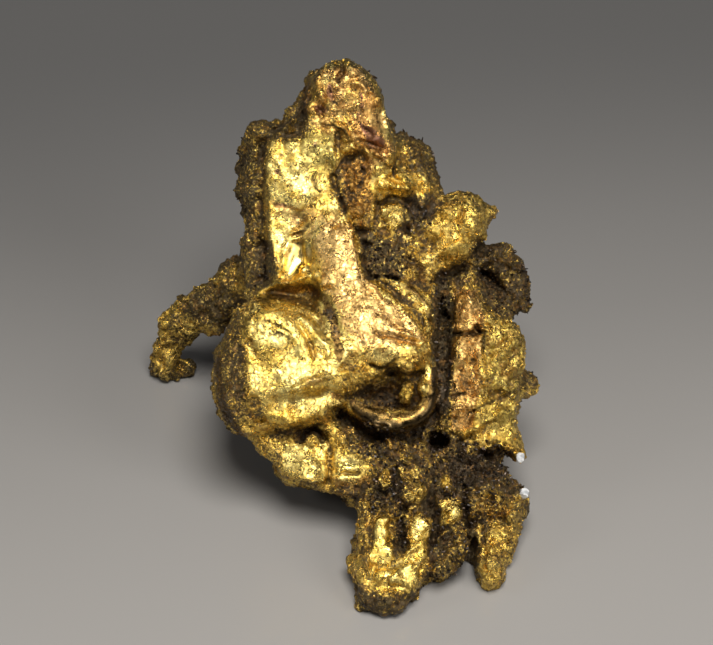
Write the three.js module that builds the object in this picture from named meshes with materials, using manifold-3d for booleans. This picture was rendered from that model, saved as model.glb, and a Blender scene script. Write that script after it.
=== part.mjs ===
// A native copper nugget: one solid lump of metal, about 51 mm long, 44 mm wide and 41 mm high.
// It grew as folded, welded lobes, and it stands on a side arm, a hidden heel and two forward feet.
//
// The nugget is laid out face up: x runs across its broad face, y up the face and z out of it. Each lobe's
// outline was measured from EYE in front of the face, so place() draws a nearer lobe smaller, as it truly is.
// The finished lump is then tipped up by LEAN and raised until its feet meet the table, at z = 0.
import * as THREE from "three";
import { mergeVertices } from "three/addons/utils/BufferGeometryUtils.js";
import { ImprovedNoise } from "three/addons/math/ImprovedNoise.js";
import Module from "manifold-3d";

// Driving dimensions, in millimetres and degrees.
const EYE = 330; // how far in front of the face its outlines were measured
const LEAN = 52; // tips the face up from lying flat
const RAISE = 15.4; // from the table up to the middle of the face
const WANDER = 0.45; // how far the skin of a lobe strays from its even shape
const WANDER_LENGTH = 3.4; // from one such swelling to the next
const OUTLINE_STEP = 2.4; // between the points along an outline
const END_ROUNDING = 0.7; // of a limb's radius: where and how wide the last hoop before its tip is
const TABLE_BLOCK = 160; // side of the block that cuts the soles flat

const wasm = await Module();
wasm.setup();
const noise = new ImprovedNoise();

// ---- How a lobe is made -----------------------------------------------------------------------------------

// A measured place on the face and its height out of it, as a true point.
function place([x, y, z]) {
  const nearness = 1 - z / EYE;
  return new THREE.Vector3(x * nearness, y * nearness, z);
}

// A closed geometry as a solid that can be joined and cut.
function solid(geometry) {
  const bare = geometry.clone();
  bare.deleteAttribute("normal");
  bare.deleteAttribute("uv");
  const welded = mergeVertices(bare, 1e-4);
  return new wasm.Manifold(
    new wasm.Mesh({
      numProp: 3,
      vertProperties: welded.attributes.position.array,
      triVerts: new Uint32Array(welded.index.array),
    }),
  );
}

// Moves the skin in and out by a smooth noise, so that no lobe is an even figure.
function wander(geometry, amount = WANDER) {
  const position = geometry.attributes.position;
  const point = new THREE.Vector3();
  const at = new THREE.Vector3();
  for (let i = 0; i < position.count; i++) {
    point.fromBufferAttribute(position, i);
    at.copy(point).divideScalar(WANDER_LENGTH);
    point.x += amount * noise.noise(at.x, at.y, at.z + 11.3);
    point.y += amount * noise.noise(at.x + 7.1, at.y, at.z);
    point.z += amount * 1.6 * noise.noise(at.x, at.y + 5.7, at.z);
    position.setXYZ(i, point.x, point.y, point.z);
  }
  return geometry;
}

// Joins rings of points, front to back, into a closed skin. The first and last ring are single points.
function skin(rings) {
  const positions = [];
  const put = (...points) => {
    for (const point of points) positions.push(point.x, point.y, point.z);
  };
  const count = rings[1].length;
  for (let i = 0; i < count; i++) {
    const next = (i + 1) % count;
    put(rings[0][0], rings[1][i], rings[1][next]);
    for (let r = 1; r < rings.length - 2; r++) {
      put(rings[r][i], rings[r + 1][i], rings[r + 1][next]);
      put(rings[r][i], rings[r + 1][next], rings[r][next]);
    }
    put(rings.at(-2)[i], rings.at(-1)[0], rings.at(-2)[next]);
  }
  const geometry = new THREE.BufferGeometry();
  geometry.setAttribute("position", new THREE.Float32BufferAttribute(positions, 3));
  return geometry;
}

// A lobe with a given outline across the face, anticlockwise. Its edge lies at level, and it swells from
// there by front out of the face and by back into it. A low bluntness makes a slab with steep sides, and 1
// an even swelling. tilt is how far the lobe rises out of the face per millimetre to the right and up it.
function lobe({ outline, level, front, back, bluntness = 0.6, tilt = [0, 0], rings = 6, amount = WANDER }) {
  const curve = new THREE.CatmullRomCurve3(
    outline.map(([x, y]) => new THREE.Vector3(x, y, 0)),
    true,
    "centripetal",
  );
  const count = Math.round(curve.getLength() / OUTLINE_STEP);
  const edge = curve.getSpacedPoints(count).slice(0, count);
  const centre = edge.reduce((sum, point) => sum.add(point), new THREE.Vector3()).divideScalar(count);
  const slice = (step) => {
    const angle = (Math.PI * step) / rings;
    const reach = Math.sin(angle) ** bluntness;
    const rise = Math.cos(angle) > 0 ? front : -back;
    const height = rise * Math.abs(Math.cos(angle)) ** bluntness;
    return edge.map((point) => {
      const across = (point.x - centre.x) * reach;
      const up = (point.y - centre.y) * reach;
      return place([centre.x + across, centre.y + up, level + height + across * tilt[0] + up * tilt[1]]);
    });
  };
  const all = [[place([centre.x, centre.y, level + front])]];
  for (let step = 1; step < rings; step++) all.push(slice(step));
  all.push([place([centre.x, centre.y, level - back])]);
  return solid(wander(skin(all), amount));
}

// A rounded lump of given radii at a place, turned about z.
function lump(at, radii, turn = 0, detail = 3) {
  const centre = place(at);
  const geometry = new THREE.IcosahedronGeometry(1, detail);
  geometry.scale(...radii);
  geometry.rotateZ(THREE.MathUtils.degToRad(turn));
  geometry.translate(centre.x, centre.y, centre.z);
  return solid(wander(geometry));
}

// A round limb along places, each given as [x, y, z, radius], closed by a blunt cone at both ends. pace is
// the distance between its hoops.
function limb(stations, { sides = 8, pace = 1.6, amount = WANDER } = {}) {
  const curve = new THREE.CatmullRomCurve3(stations.map(place), false, "centripetal");
  const steps = Math.max(4, Math.round(curve.getLength() / pace));
  const frames = curve.computeFrenetFrames(steps, false);
  const radii = stations.map((station) => station[3]);
  const radiusAt = (t) => {
    const span = t * (radii.length - 1);
    const first = Math.min(Math.floor(span), radii.length - 2);
    return THREE.MathUtils.lerp(radii[first], radii[first + 1], span - first);
  };
  const hoop = (t, index, share, push) => {
    const centre = curve.getPoint(t).addScaledVector(frames.tangents[index], push);
    return Array.from({ length: sides }, (_, side) => {
      const angle = (2 * Math.PI * side) / sides;
      return centre
        .clone()
        .addScaledVector(frames.normals[index], -share * radiusAt(t) * Math.cos(angle))
        .addScaledVector(frames.binormals[index], share * radiusAt(t) * Math.sin(angle));
    });
  };
  const tip = (t, index, side) => [
    curve.getPoint(t).addScaledVector(frames.tangents[index], side * radiusAt(t)),
  ];
  const all = [tip(0, 0, -1), hoop(0, 0, END_ROUNDING, -END_ROUNDING * radii[0])];
  for (let step = 0; step <= steps; step++) all.push(hoop(step / steps, step, 1, 0));
  all.push(hoop(1, steps, END_ROUNDING, END_ROUNDING * radii.at(-1)), tip(1, steps, 1));
  return solid(wander(skin(all), amount));
}

// ---- The body ---------------------------------------------------------------------------------------------

// The middle of the nugget, which the lobes stand on.
function core() {
  return lump([1, -1, -2], [11.5, 17.5, 10.2], 8);
}

// The rounded swellings of its back, behind the column, the peak, the boss and the right plate.
function back() {
  const behindColumn = lump([-5, 12, -3], [6.6, 9.5, 6.6], 0, 2);
  const behindPeak = lump([-1, 21, -0.5], [4.6, 7.4, 5.8], 10, 2);
  const behindShoulder = lump([4.6, 11.5, -5.2], [4.6, 7.6, 4.6], -6, 2);
  const behindBoss = lump([-8, -4.4, 0], [7, 7.6, 9], 0, 2);
  const behindPlate = lump([11.6, -4, -4.4], [4.8, 9, 5.4], 0, 2);
  return behindColumn.add(behindPeak).add(behindShoulder).add(behindBoss).add(behindPlate);
}

// The upright column at the upper left, its dark side face, and the knob on its shoulder.
function column() {
  const shaft = lobe({
    outline: [
      [-9.6, 3], [-1, 2], [1, 6], [1.4, 11], [1.9, 15], [3.4, 20], [2.5, 24], [-2, 25], [-5.6, 23.4],
      [-7.6, 22.4], [-10, 20.4], [-10.4, 17], [-10.3, 13], [-10.1, 8],
    ],
    level: 1,
    front: 5.8,
    back: 4.6,
    bluntness: 0.36,
  });
  const side = lobe({
    outline: [
      [-12.4, 3.6], [-6, 3], [-4, 12], [-5, 21], [-8.8, 22.2], [-12, 21], [-12.7, 18], [-12.8, 14.5],
      [-12.2, 11], [-12.9, 8],
    ],
    level: -2,
    front: 5,
    back: 3,
    bluntness: 0.45,
  });
  const knob = lump([-10.3, 20.6, 0.6], [2.1, 1.9, 3], 0, 2);
  return shaft.add(side).add(knob);
}

// The peak, which leans to the right of the column, with a straight plate edge down its right side.
function peak() {
  return lobe({
    outline: [
      [-6.8, 16], [-2, 13.4], [2, 14], [4.2, 16.2], [4.8, 18.7], [3.9, 21], [3.1, 23.4], [2.6, 26.1],
      [1, 27.7], [-0.2, 29.3], [-2, 29.4], [-4.3, 28.4], [-5.4, 26.6], [-6.2, 24.1], [-7, 20],
    ],
    level: 2.2,
    front: 4.8,
    back: 4.6,
    bluntness: 0.4,
    rings: 7,
  });
}

// The dark lump behind the peak's right foot, with the shelf, nodule and block on its front.
function rightShoulder() {
  const behind = lobe({
    outline: [
      [1, 6], [5, 4], [9.4, 6.6], [10, 12], [9, 14.4], [8.4, 17.2], [7.3, 20], [6, 20.7], [4, 20.6],
      [1.6, 16],
    ],
    level: -2.6,
    front: 6.2,
    back: 3.2,
    bluntness: 0.42,
  });
  const shelf = lump([4.2, 15.2, 3.2], [2.9, 1.4, 2.4], -8);
  const nodule = lump([3.8, 11.5, 3.2], [2.4, 1.9, 2.4]);
  const block = lump([2.9, 6.9, 4], [2.6, 1.8, 3.2], -12);
  return behind.add(shelf).add(nodule).add(block);
}

// The ear, a rough hook that stands out to the right, and the dark lumps that curl round behind it.
function ear() {
  const hook = lobe({
    outline: [
      [5, 5.5], [8, 6], [11.5, 6.4], [12.9, 7.2], [13.2, 9], [14.1, 10.4], [15.2, 12.1], [14.5, 13.5],
      [12.8, 14.1], [10.8, 14.1], [9.5, 13], [7.5, 11.3], [5, 10.5],
    ],
    level: 1,
    front: 3.4,
    back: 4,
    bluntness: 0.5,
  });
  const curled = limb([
    [10, 6.6, -3.5, 2],
    [13.6, 7, -3.6, 1.8],
    [16.4, 6.7, -3.8, 1.9],
    [17.6, 4.8, -3.6, 1.7],
    [17.2, 2.6, -3, 1.6],
    [15.2, 0.6, -2.4, 1.5],
  ]);
  const web = lump([14.4, 4.6, -4.6], [3.2, 3.2, 2], 0, 2);
  return hook.add(curled).add(web);
}

// ---- The face ---------------------------------------------------------------------------------------------

// The great round boss at the lower left, with the lip above it.
function boss() {
  const dome = lobe({
    outline: [
      [-11.6, 3], [-13.4, 1], [-14.8, -1.5], [-15.8, -4.5], [-16, -7], [-15.3, -10], [-13.4, -12.9],
      [-10.8, -12.6], [-8, -12.3], [-5, -11.7], [-2.6, -10.3], [-0.9, -7.8], [-1.2, -4.5], [-2.6, -1],
      [-5, 1.8], [-8.5, 2.9],
    ],
    level: 6,
    front: 7.6,
    back: 8,
    bluntness: 0.7,
    rings: 8,
  });
  const lip = limb([
    [-12, 3, 1, 0.7],
    [-10, 3.9, 4.2, 0.8],
    [-7.6, 4.3, 6.4, 0.8],
    [-5.4, 5.1, 7.4, 0.9],
  ]);
  return dome.add(lip);
}

// The broad tongue that runs down to the right across the face, with its thin outer lip.
function tongue() {
  const blade = lobe({
    outline: [
      [-4.6, 8], [-4.8, 4], [-4.4, 1], [-4.6, -3], [-4.8, -7.4], [-2.6, -9.6], [-0.4, -8.2], [1.6, -6.8],
      [4.3, -5.2], [6.4, -6], [8, -4.6], [8.8, -2.9], [7.7, -1], [6.4, 1], [4.6, 2.8], [2.6, 4.2],
      [1.2, 5.2], [0.6, 8], [0.2, 12], [-2, 14.4], [-4.4, 12.4],
    ],
    level: 6.4,
    front: 4.8,
    back: 9,
    bluntness: 0.5,
    tilt: [0.04, -0.24],
    rings: 7,
  });
  const lip = limb([
    [4.4, 4.7, 4.6, 0.8],
    [6.6, 3.5, 5.2, 0.8],
    [8, 1.6, 5.8, 0.8],
    [8.2, -0.8, 6.2, 0.8],
    [7.6, -2.6, 6.6, 0.8],
  ]);
  return blade.add(lip);
}

// The curl under the tongue: a smooth rolled rim, like the edge of a coin, round a shallow bowl.
function curl() {
  const rim = limb(
    [
      [-2, -8.4, 8.6, 0.8],
      [-0.4, -9.4, 9.2, 0.9],
      [1.6, -10.7, 9.8, 1],
      [4.4, -11.4, 10.2, 1.05],
      [6.8, -10.7, 10.2, 1],
      [8.2, -8.9, 9.9, 0.9],
      [8.5, -6.6, 9.4, 0.8],
      [8.2, -4.2, 8.6, 0.8],
    ],
    { pace: 1.3, amount: 0.12 },
  );
  const bowl = lobe({
    outline: [
      [-1.4, -8.4], [0.6, -9.9], [3, -11], [5.6, -11.2], [7.4, -10], [8.3, -7.8], [8.2, -4], [4, -2],
      [0, -4],
    ],
    level: 6.2,
    front: 2.4,
    back: 5,
    bluntness: 0.35,
    amount: 0.2,
  });
  const pearl = lump([5.5, -7.8, 8.8], [0.9, 1.4, 1.4], -5, 2);
  const smallPearl = lump([7.7, -7.2, 9], [0.7, 1.2, 1.2], 0, 2);
  return rim.add(bowl).add(pearl).add(smallPearl);
}

// The rough dark bed under the curl, which the feet grow from.
function bed() {
  return lobe({
    outline: [
      [-4, -9], [-3, -13.5], [0, -16], [5, -16.5], [11, -16], [12, -11], [10, -6], [5, -6], [0, -7],
    ],
    level: 2.4,
    front: 4.8,
    back: 9,
    bluntness: 0.4,
  });
}

// ---- The right plate --------------------------------------------------------------------------------------

// A thick plate that stands proud at the right, folded along a line down its middle, on a broad root.
function rightPlate() {
  const sheet = lobe({
    outline: [
      [11, 3.4], [10.8, 1.3], [11.1, -1], [10.3, -4], [9.9, -7.5], [9.7, -10.5], [10.4, -12.7],
      [12, -13.8], [14, -14], [15.6, -14.9], [16.8, -14.3], [18.2, -15.2], [18.2, -13], [17.6, -10.8],
      [18.2, -8], [18.4, -6], [19, -3.6], [18.3, -0.4], [16.6, -0.1], [15.5, 1.2], [14.2, 2], [13.4, 3.7],
      [12.2, 4.4],
    ],
    level: 4.8,
    front: 2.6,
    back: 3.2,
    bluntness: 0.3,
    tilt: [-0.12, -0.1],
    rings: 5,
  });
  const root = lobe({
    outline: [
      [8, 8], [7, 0], [7, -9], [8, -15], [13, -15.6], [15.6, -10], [16.2, -3], [15.8, 3], [13.5, 7],
    ],
    level: -2.5,
    front: 4,
    back: 4,
    bluntness: 0.5,
    rings: 5,
  });
  const nub = lump([18.6, -7.2, 1.5], [1.7, 1.5, 1.8], 0, 2);
  const nubRoot = lump([16.6, -6.6, 1.8], [2.2, 2.4, 2.4], 0, 2);
  return sheet.add(root).add(nub).add(nubRoot);
}

// ---- Below the face ---------------------------------------------------------------------------------------

// The block that hangs under the boss, and the strap across it.
function lowerBlock() {
  const block = lobe({
    outline: [
      [-12, -12.4], [-11.4, -14.1], [-9.3, -15.4], [-8.5, -17], [-7, -18.1], [-5.4, -18.2], [-4, -19.1],
      [-2.6, -18.2], [-1, -19.9], [0.3, -20.1], [1.8, -18.6], [2.8, -16], [1, -12.6], [-2.5, -10.4],
      [-7, -10.4],
    ],
    level: 6,
    front: 3.6,
    back: 5.5,
    bluntness: 0.45,
    tilt: [0.05, -0.1],
  });
  const strap = limb([
    [-3.6, -11.2, 8.8, 0.8],
    [-1.4, -13, 9.8, 0.9],
    [0.6, -14.6, 10, 0.9],
    [2.2, -16.4, 9.6, 0.8],
  ]);
  return block.add(strap);
}

// The trunk that the two forward feet share.
function trunk() {
  return lobe({
    outline: [
      [0.4, -18], [0.5, -22.6], [3, -25.4], [8, -26], [11.4, -24.6], [13.4, -22.4], [16.6, -20.4],
      [17.2, -16.8], [13.5, -14.6], [10, -12], [4, -12], [0.2, -14],
    ],
    level: 6.6,
    front: 4.6,
    back: 4.4,
    bluntness: 0.4,
    tilt: [-0.14, -0.44],
  });
}

// The front foot, the stub that hangs beside it and the right foot.
function feet() {
  const front = lobe({
    outline: [
      [0.3, -15], [0.2, -18], [0.1, -22], [0.1, -24.6], [-0.5, -26.7], [0, -29], [0, -31], [1, -32.3],
      [3.2, -32.6], [5.6, -31.9], [6.9, -30], [8, -28], [8.6, -24], [8.4, -18], [5.6, -14], [2.6, -13],
    ],
    level: 10.2,
    front: 3.6,
    back: 3.2,
    bluntness: 0.42,
    tilt: [-0.06, -0.4],
    rings: 7,
  });
  const stub = lobe({
    outline: [
      [6.4, -20], [6.6, -25], [7.8, -28], [9.4, -28.3], [11, -27.8], [12.2, -26.4], [12.9, -23.6],
      [13.2, -20], [12, -15.5], [8, -14.5],
    ],
    level: 9.4,
    front: 2.7,
    back: 2.6,
    bluntness: 0.4,
    tilt: [-0.06, -0.46],
  });
  const right = lobe({
    outline: [
      [12, -17.6], [12.8, -22], [13.4, -25], [12.9, -28], [13.6, -29.8], [14.7, -30.7], [15.6, -29.8],
      [16.4, -27], [17.2, -24.4], [18.4, -22], [19.1, -19.7], [18.6, -18.1], [16.6, -17.1], [14, -15],
    ],
    level: 7.8,
    front: 2.8,
    back: 2.8,
    bluntness: 0.42,
    tilt: [-0.1, -0.55],
  });
  return front.add(stub).add(right);
}

// The arm that reaches out to the left behind the boss and down to the table, with a toe at its end.
function arm() {
  return limb(
    [
      [-8, 4.5, -4, 4.4],
      [-12, 3.6, -7.4, 3.4],
      [-14.6, 2.6, -9.2, 3.1],
      [-17.4, 1, -11.4, 2.4],
      [-19.9, -0.4, -13, 1.9],
      [-21, -2.6, -14.8, 1.6],
      [-21.3, -4.6, -16.4, 1.5],
      [-19, -4.9, -16.8, 1.1],
    ],
    { sides: 10 },
  );
}

// The heel behind the nugget, which takes the load that the feet and the arm don't.
function heel() {
  return limb(
    [
      [5, 0, -6, 6],
      [7, -5, -9, 5],
      [8, -8, -10.6, 4],
      [8.4, -10, -11, 3],
    ],
    { sides: 10 },
  );
}

// ---- What is hollow ---------------------------------------------------------------------------------------

// The hollow high on the face, the dimple beside it, and the pits and slits between the lobes.
function hollows() {
  return [
    lump([-0.4, 16.4, 7], [2.1, 2.7, 3.2], -10),
    lump([0.6, 12.4, 7.4], [1.5, 3, 2.6], -6, 2),
    lump([-6.6, 7.8, 8.6], [1.7, 2.3, 2.4], -20, 2),
    lump([-5.2, -12.7, 10.4], [1.5, 1.1, 3], 0, 2),
    lump([14.9, 4.9, -1], [2, 1.1, 2.6], -25, 2),
    lump([13.6, -0.8, 5], [0.8, 0.45, 6], 0, 2),
    lump([9, -13.4, 6.8], [0.9, 0.8, 2.6], 0, 2),
    lump([4.9, -23.4, 13.6], [1, 1.9, 1.8], 0, 2),
    limb([
      [8.9, 4.6, 5.5, 0.9],
      [9.4, 0, 6.2, 0.9],
      [9.6, -4, 7.4, 0.9],
      [9.3, -8.4, 8, 0.9],
      [8, -12, 8.6, 0.8],
    ]),
    limb([
      [12.7, -23.8, 9.6, 0.7],
      [12.9, -26.5, 11.5, 0.9],
      [12.9, -30, 13, 1],
    ]),
  ];
}

// ---- The whole nugget -------------------------------------------------------------------------------------

// Tips the nugget up, stands it on the table and cuts its soles flat there.
function stand(nugget) {
  const mesh = nugget.getMesh();
  const geometry = new THREE.BufferGeometry();
  geometry.setAttribute("position", new THREE.BufferAttribute(mesh.vertProperties, 3));
  geometry.setIndex(new THREE.BufferAttribute(mesh.triVerts, 1));
  geometry.rotateX(THREE.MathUtils.degToRad(LEAN));
  geometry.translate(0, 0, RAISE);
  const table = new THREE.BoxGeometry(TABLE_BLOCK, TABLE_BLOCK, TABLE_BLOCK);
  table.translate(0, 0, -TABLE_BLOCK / 2);
  const standing = solid(geometry).subtract(solid(table)).getMesh();
  const stood = new THREE.BufferGeometry();
  stood.setAttribute("position", new THREE.BufferAttribute(standing.vertProperties, 3));
  stood.setIndex(new THREE.BufferAttribute(standing.triVerts, 1));
  stood.computeBoundingBox();
  const centre = stood.boundingBox.getCenter(new THREE.Vector3());
  stood.translate(-centre.x, -centre.y, 0);
  return stood;
}

const lobes = [
  back(), column(), peak(), rightShoulder(), ear(), boss(), tongue(), curl(), bed(), rightPlate(),
  lowerBlock(), trunk(), feet(), arm(), heel(),
];
let nugget = core();
for (const part of lobes) nugget = nugget.add(part);
for (const hollow of hollows()) nugget = nugget.subtract(hollow);

const copper = new THREE.MeshStandardMaterial({ color: 0xb98a3e, roughness: 0.35, metalness: 1 });
const mesh = new THREE.Mesh(stand(nugget), copper);
mesh.name = "copper_nugget";

const group = new THREE.Group();
group.add(mesh);

export default group;
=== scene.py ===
import math

import bmesh
import bpy
import numpy as np
import openvdb
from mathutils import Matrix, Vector


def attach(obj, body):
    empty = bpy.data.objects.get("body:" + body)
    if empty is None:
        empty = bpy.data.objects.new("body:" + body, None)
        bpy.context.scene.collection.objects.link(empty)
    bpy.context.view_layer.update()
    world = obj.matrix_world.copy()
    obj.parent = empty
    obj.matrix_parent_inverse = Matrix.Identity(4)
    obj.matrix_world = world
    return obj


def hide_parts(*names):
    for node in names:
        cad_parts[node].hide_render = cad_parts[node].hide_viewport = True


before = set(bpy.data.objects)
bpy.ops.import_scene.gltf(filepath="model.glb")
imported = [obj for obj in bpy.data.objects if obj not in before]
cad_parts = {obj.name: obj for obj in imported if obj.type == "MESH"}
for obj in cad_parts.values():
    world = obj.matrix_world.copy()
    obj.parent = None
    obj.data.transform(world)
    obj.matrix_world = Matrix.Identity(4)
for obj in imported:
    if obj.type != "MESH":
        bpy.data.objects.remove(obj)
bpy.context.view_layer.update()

# ---- The lump of metal ------------------------------------------------------------------------------------
# The nugget is one lump of native copper that grew as welded lobes. A copy of the CAD lump is laid face up and
# filled with small cells that each know how far they are from the skin, and it is worked there like clay.
EYE = 330.0  # mm from the eye to the middle of the face, where its outlines were measured
FACE_TURN = math.radians(38)  # how far the face looks up from level
FACE_MIDDLE = np.array([1.8912, 5.9892, 15.4])  # mm, in the part's own frame
FACE_AXES = np.array([
    [1, 0, 0],
    [0, math.sin(FACE_TURN), math.cos(FACE_TURN)],
    [0, -math.cos(FACE_TURN), math.sin(FACE_TURN)],
])  # across the face, up it and out of it
CELL = 0.2  # mm
BAND = 6.0  # how many cells deep the distances run on either side of the skin
ROOM = 2.0  # mm of empty cells round the lump


def onto_face(points):
    """Points of the part, in metres, as millimetres across, up and out of the face as the eye sees it."""
    face = (points * 1000 - FACE_MIDDLE) @ FACE_AXES.T
    face[:, :2] /= (1 - face[:, 2] / EYE)[:, None]
    return face


def off_face(face):
    """The way back, from the face to the part's own frame in metres."""
    true = face.copy()
    true[:, :2] *= (1 - face[:, 2] / EYE)[:, None]
    return (true @ FACE_AXES + FACE_MIDDLE) / 1000


def soften(block, spread, axes):
    """Blurs a block of cells along the given axes."""
    reach = int(3 * spread) + 1
    weights = np.exp(-0.5 * (np.arange(-reach, reach + 1) / spread) ** 2)
    weights /= weights.sum()
    for axis in axes:
        rows = np.moveaxis(block, axis, 0)
        edged = np.concatenate([rows[:1]] * reach + [rows] + [rows[-1:]] * reach)
        mixed = np.zeros_like(rows)
        for step, weight in enumerate(weights):
            mixed += np.float32(weight) * edged[step:step + len(rows)]
        block = np.moveaxis(mixed, 0, axis)
    return np.ascontiguousarray(block)


def swellings(points, size, seed):
    """Smooth uneven swellings about one size apart, from -1 to 1."""
    dice = np.random.default_rng(seed).uniform(-1, 1, (32, 32, 32))
    scaled = points / size + 200
    corner = np.floor(scaled).astype(int)
    share = scaled - corner
    share = share * share * (3 - 2 * share)
    total = np.zeros(len(points))
    for i in (0, 1):
        for j in (0, 1):
            for k in (0, 1):
                weight = np.abs(1 - i - share[:, 0]) * np.abs(1 - j - share[:, 1]) * np.abs(1 - k - share[:, 2])
                total += weight * dice[(corner[:, 0] + i) % 32, (corner[:, 1] + j) % 32, (corner[:, 2] + k) % 32]
    return total


rough_lump = bmesh.new()
rough_lump.from_mesh(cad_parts["copper_nugget"].data)
bmesh.ops.remove_doubles(rough_lump, verts=rough_lump.verts, dist=1e-6)
corners = onto_face(np.array([vertex.co for vertex in rough_lump.verts], float))
facets = np.array([[vertex.index for vertex in face.verts] for face in rough_lump.faces], np.uint32)
rough_lump.free()

block_low = corners.min(0) - ROOM
block_size = tuple(np.ceil((corners.max(0) + ROOM - block_low) / CELL).astype(int))
distances = openvdb.FloatGrid.createLevelSetFromPolygons(
    ((corners - block_low) / CELL).astype(np.float32),
    triangles=facets,
    transform=openvdb.createLinearTransform(1.0),
    exBandWidth=BAND,
    inBandWidth=BAND,
)
cells = np.full(block_size, BAND, np.float32)
distances.copyToArray(cells)
cells = soften(cells, 2.2, (0, 1, 2))

# The face as a sheet of heights, which the marks below raise and lower.
across = block_low[0] + CELL * np.arange(block_size[0])
up = block_low[1] + CELL * np.arange(block_size[1])
ACROSS, UP = np.meshgrid(across, up, indexing="ij")
solid = cells < 0
on_lump = solid.any(axis=2)
front_cell = block_size[2] - 1 - np.argmax(solid[:, :, ::-1], axis=2)
inner = np.take_along_axis(cells, front_cell[:, :, None], axis=2)[:, :, 0]
outer = np.take_along_axis(cells, np.minimum(front_cell + 1, block_size[2] - 1)[:, :, None], axis=2)[:, :, 0]
part_cell = np.clip(inner / np.minimum(inner - outer, -1e-6), 0, 1)
rough_height = np.where(on_lump, block_low[2] + CELL * (front_cell + part_cell), 0)
reach_out = on_lump.astype(np.float32)
spread_height = (rough_height * on_lump).astype(np.float32)
far_share = soften(reach_out, 5, (0, 1)) + 1e-6
far_height = soften(spread_height, 5, (0, 1)) / far_share
rough_height = np.where(on_lump, rough_height, far_height)
height = rough_height.copy()

# Nothing on the nugget is drawn with a ruler, so every mark is laid on a sheet that is slightly crumpled.
sheet = np.stack([ACROSS.ravel(), UP.ravel(), np.zeros(ACROSS.size)], axis=1)
CRUMPLED_ACROSS = ACROSS + (
    0.22 * swellings(sheet, 1.5, 1) + 0.12 * swellings(sheet, 0.6, 2)
).reshape(ACROSS.shape)
CRUMPLED_UP = UP + (
    0.22 * swellings(sheet, 1.5, 3) + 0.12 * swellings(sheet, 0.6, 4)
).reshape(ACROSS.shape)

PROFILES = {
    "soft": lambda q: (1 - q * q) ** 2,
    "crisp": lambda q: 1 - q,
    "round": lambda q: np.sqrt(1 - q * q),
    "flat": lambda q: np.clip((1 - q) / 0.3, 0, 1) ** 2 * (3 - 2 * np.clip((1 - q) / 0.3, 0, 1)),
}


def along(line):
    """How far each place on the sheet is from a line of points, and where along the line it is, from 0 to 1."""
    nearest = np.full(ACROSS.shape, 1e3)
    place = np.zeros(ACROSS.shape)
    lengths = [math.dist(a, b) for a, b in zip(line, line[1:])]
    done = 0
    for (a, b), length in zip(zip(line, line[1:]), lengths):
        run = np.array(b, float) - a
        share = ((CRUMPLED_ACROSS - a[0]) * run[0] + (CRUMPLED_UP - a[1]) * run[1]) / (length * length)
        share = np.clip(share, 0, 1)
        distance = np.hypot(CRUMPLED_ACROSS - a[0] - share * run[0], CRUMPLED_UP - a[1] - share * run[1])
        place = np.where(distance < nearest, (done + share * length) / sum(lengths), place)
        nearest = np.minimum(distance, nearest)
        done += length
    return nearest, place


def stroke(line, wide, cut="soft"):
    """A mark along a line, from 1 in its middle to 0 at its edge, that runs out towards both ends."""
    distance, place = along(line)
    taper = np.clip(0.35 + 4 * np.minimum(place, 1 - place), 0, 1)
    q = np.clip(distance / (wide * taper), 0, 1)
    return PROFILES[cut](q)


def patch(at, radii, turn=0, cut="soft"):
    """A round or oval mark, from 1 in its middle to 0 at its edge."""
    angle = math.radians(turn)
    right = (CRUMPLED_ACROSS - at[0]) * math.cos(angle) + (CRUMPLED_UP - at[1]) * math.sin(angle)
    above = (CRUMPLED_UP - at[1]) * math.cos(angle) - (CRUMPLED_ACROSS - at[0]) * math.sin(angle)
    q = np.clip(np.hypot(right / radii[0], above / radii[1]), 0, 1)
    return PROFILES[cut](q)


def within(outline, edge=0.4):
    """1 inside an outline and 0 outside it, with a soft edge."""
    distance, _ = along(outline + outline[:1])
    inside = np.zeros(ACROSS.shape, bool)
    for a, b in zip(outline, outline[1:] + outline[:1]):
        crosses = (a[1] > CRUMPLED_UP) != (b[1] > CRUMPLED_UP)
        slope = (b[0] - a[0]) / ((b[1] - a[1]) or 1e-9)
        inside ^= crosses & (CRUMPLED_ACROSS < a[0] + slope * (CRUMPLED_UP - a[1]))
    share = np.clip(0.5 + np.where(inside, distance, -distance) / edge, 0, 1)
    return share * share * (3 - 2 * share)


RELIEF = 1.4  # how boldly the marks stand out


def ridge(line, wide, tall, cut="soft"):
    """Raises the face along a line, or grooves it where tall is below 0."""
    height[:] += RELIEF * tall * stroke(line, wide, cut)


def knob(at, radii, tall, turn=0, cut="round"):
    """Raises a lump on the face, or sinks a pit where tall is below 0."""
    height[:] += RELIEF * tall * patch(at, radii, turn, cut)


def plane(outline, lift=0.0, slope=None, hold=1.0, edge=0.5):
    """Flattens the face inside an outline to one facet, lifted from its mean lie and turned to a given slope."""
    share = within(outline, edge)
    sure = share > 0.5
    table = np.stack([np.ones(sure.sum()), ACROSS[sure], UP[sure]], axis=1)
    lie = np.linalg.lstsq(table, height[sure], rcond=None)[0]
    middle = (ACROSS[sure].mean(), UP[sure].mean())
    lean = (lie[1], lie[2]) if slope is None else slope
    flat = height[sure].mean() + lift + lean[0] * (ACROSS - middle[0]) + lean[1] * (UP - middle[1])
    height[:] += hold * share * (flat - height)


def weld(line, wide, amount=1.0, size=6):
    """Fills the crease where two lobes grew into each other."""
    smooth = soften((height * on_lump).astype(np.float32), size, (0, 1)) / (soften(reach_out, size, (0, 1)) + 1e-6)
    height[:] += amount * stroke(line, wide, "flat") * (smooth - height) * on_lump


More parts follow.
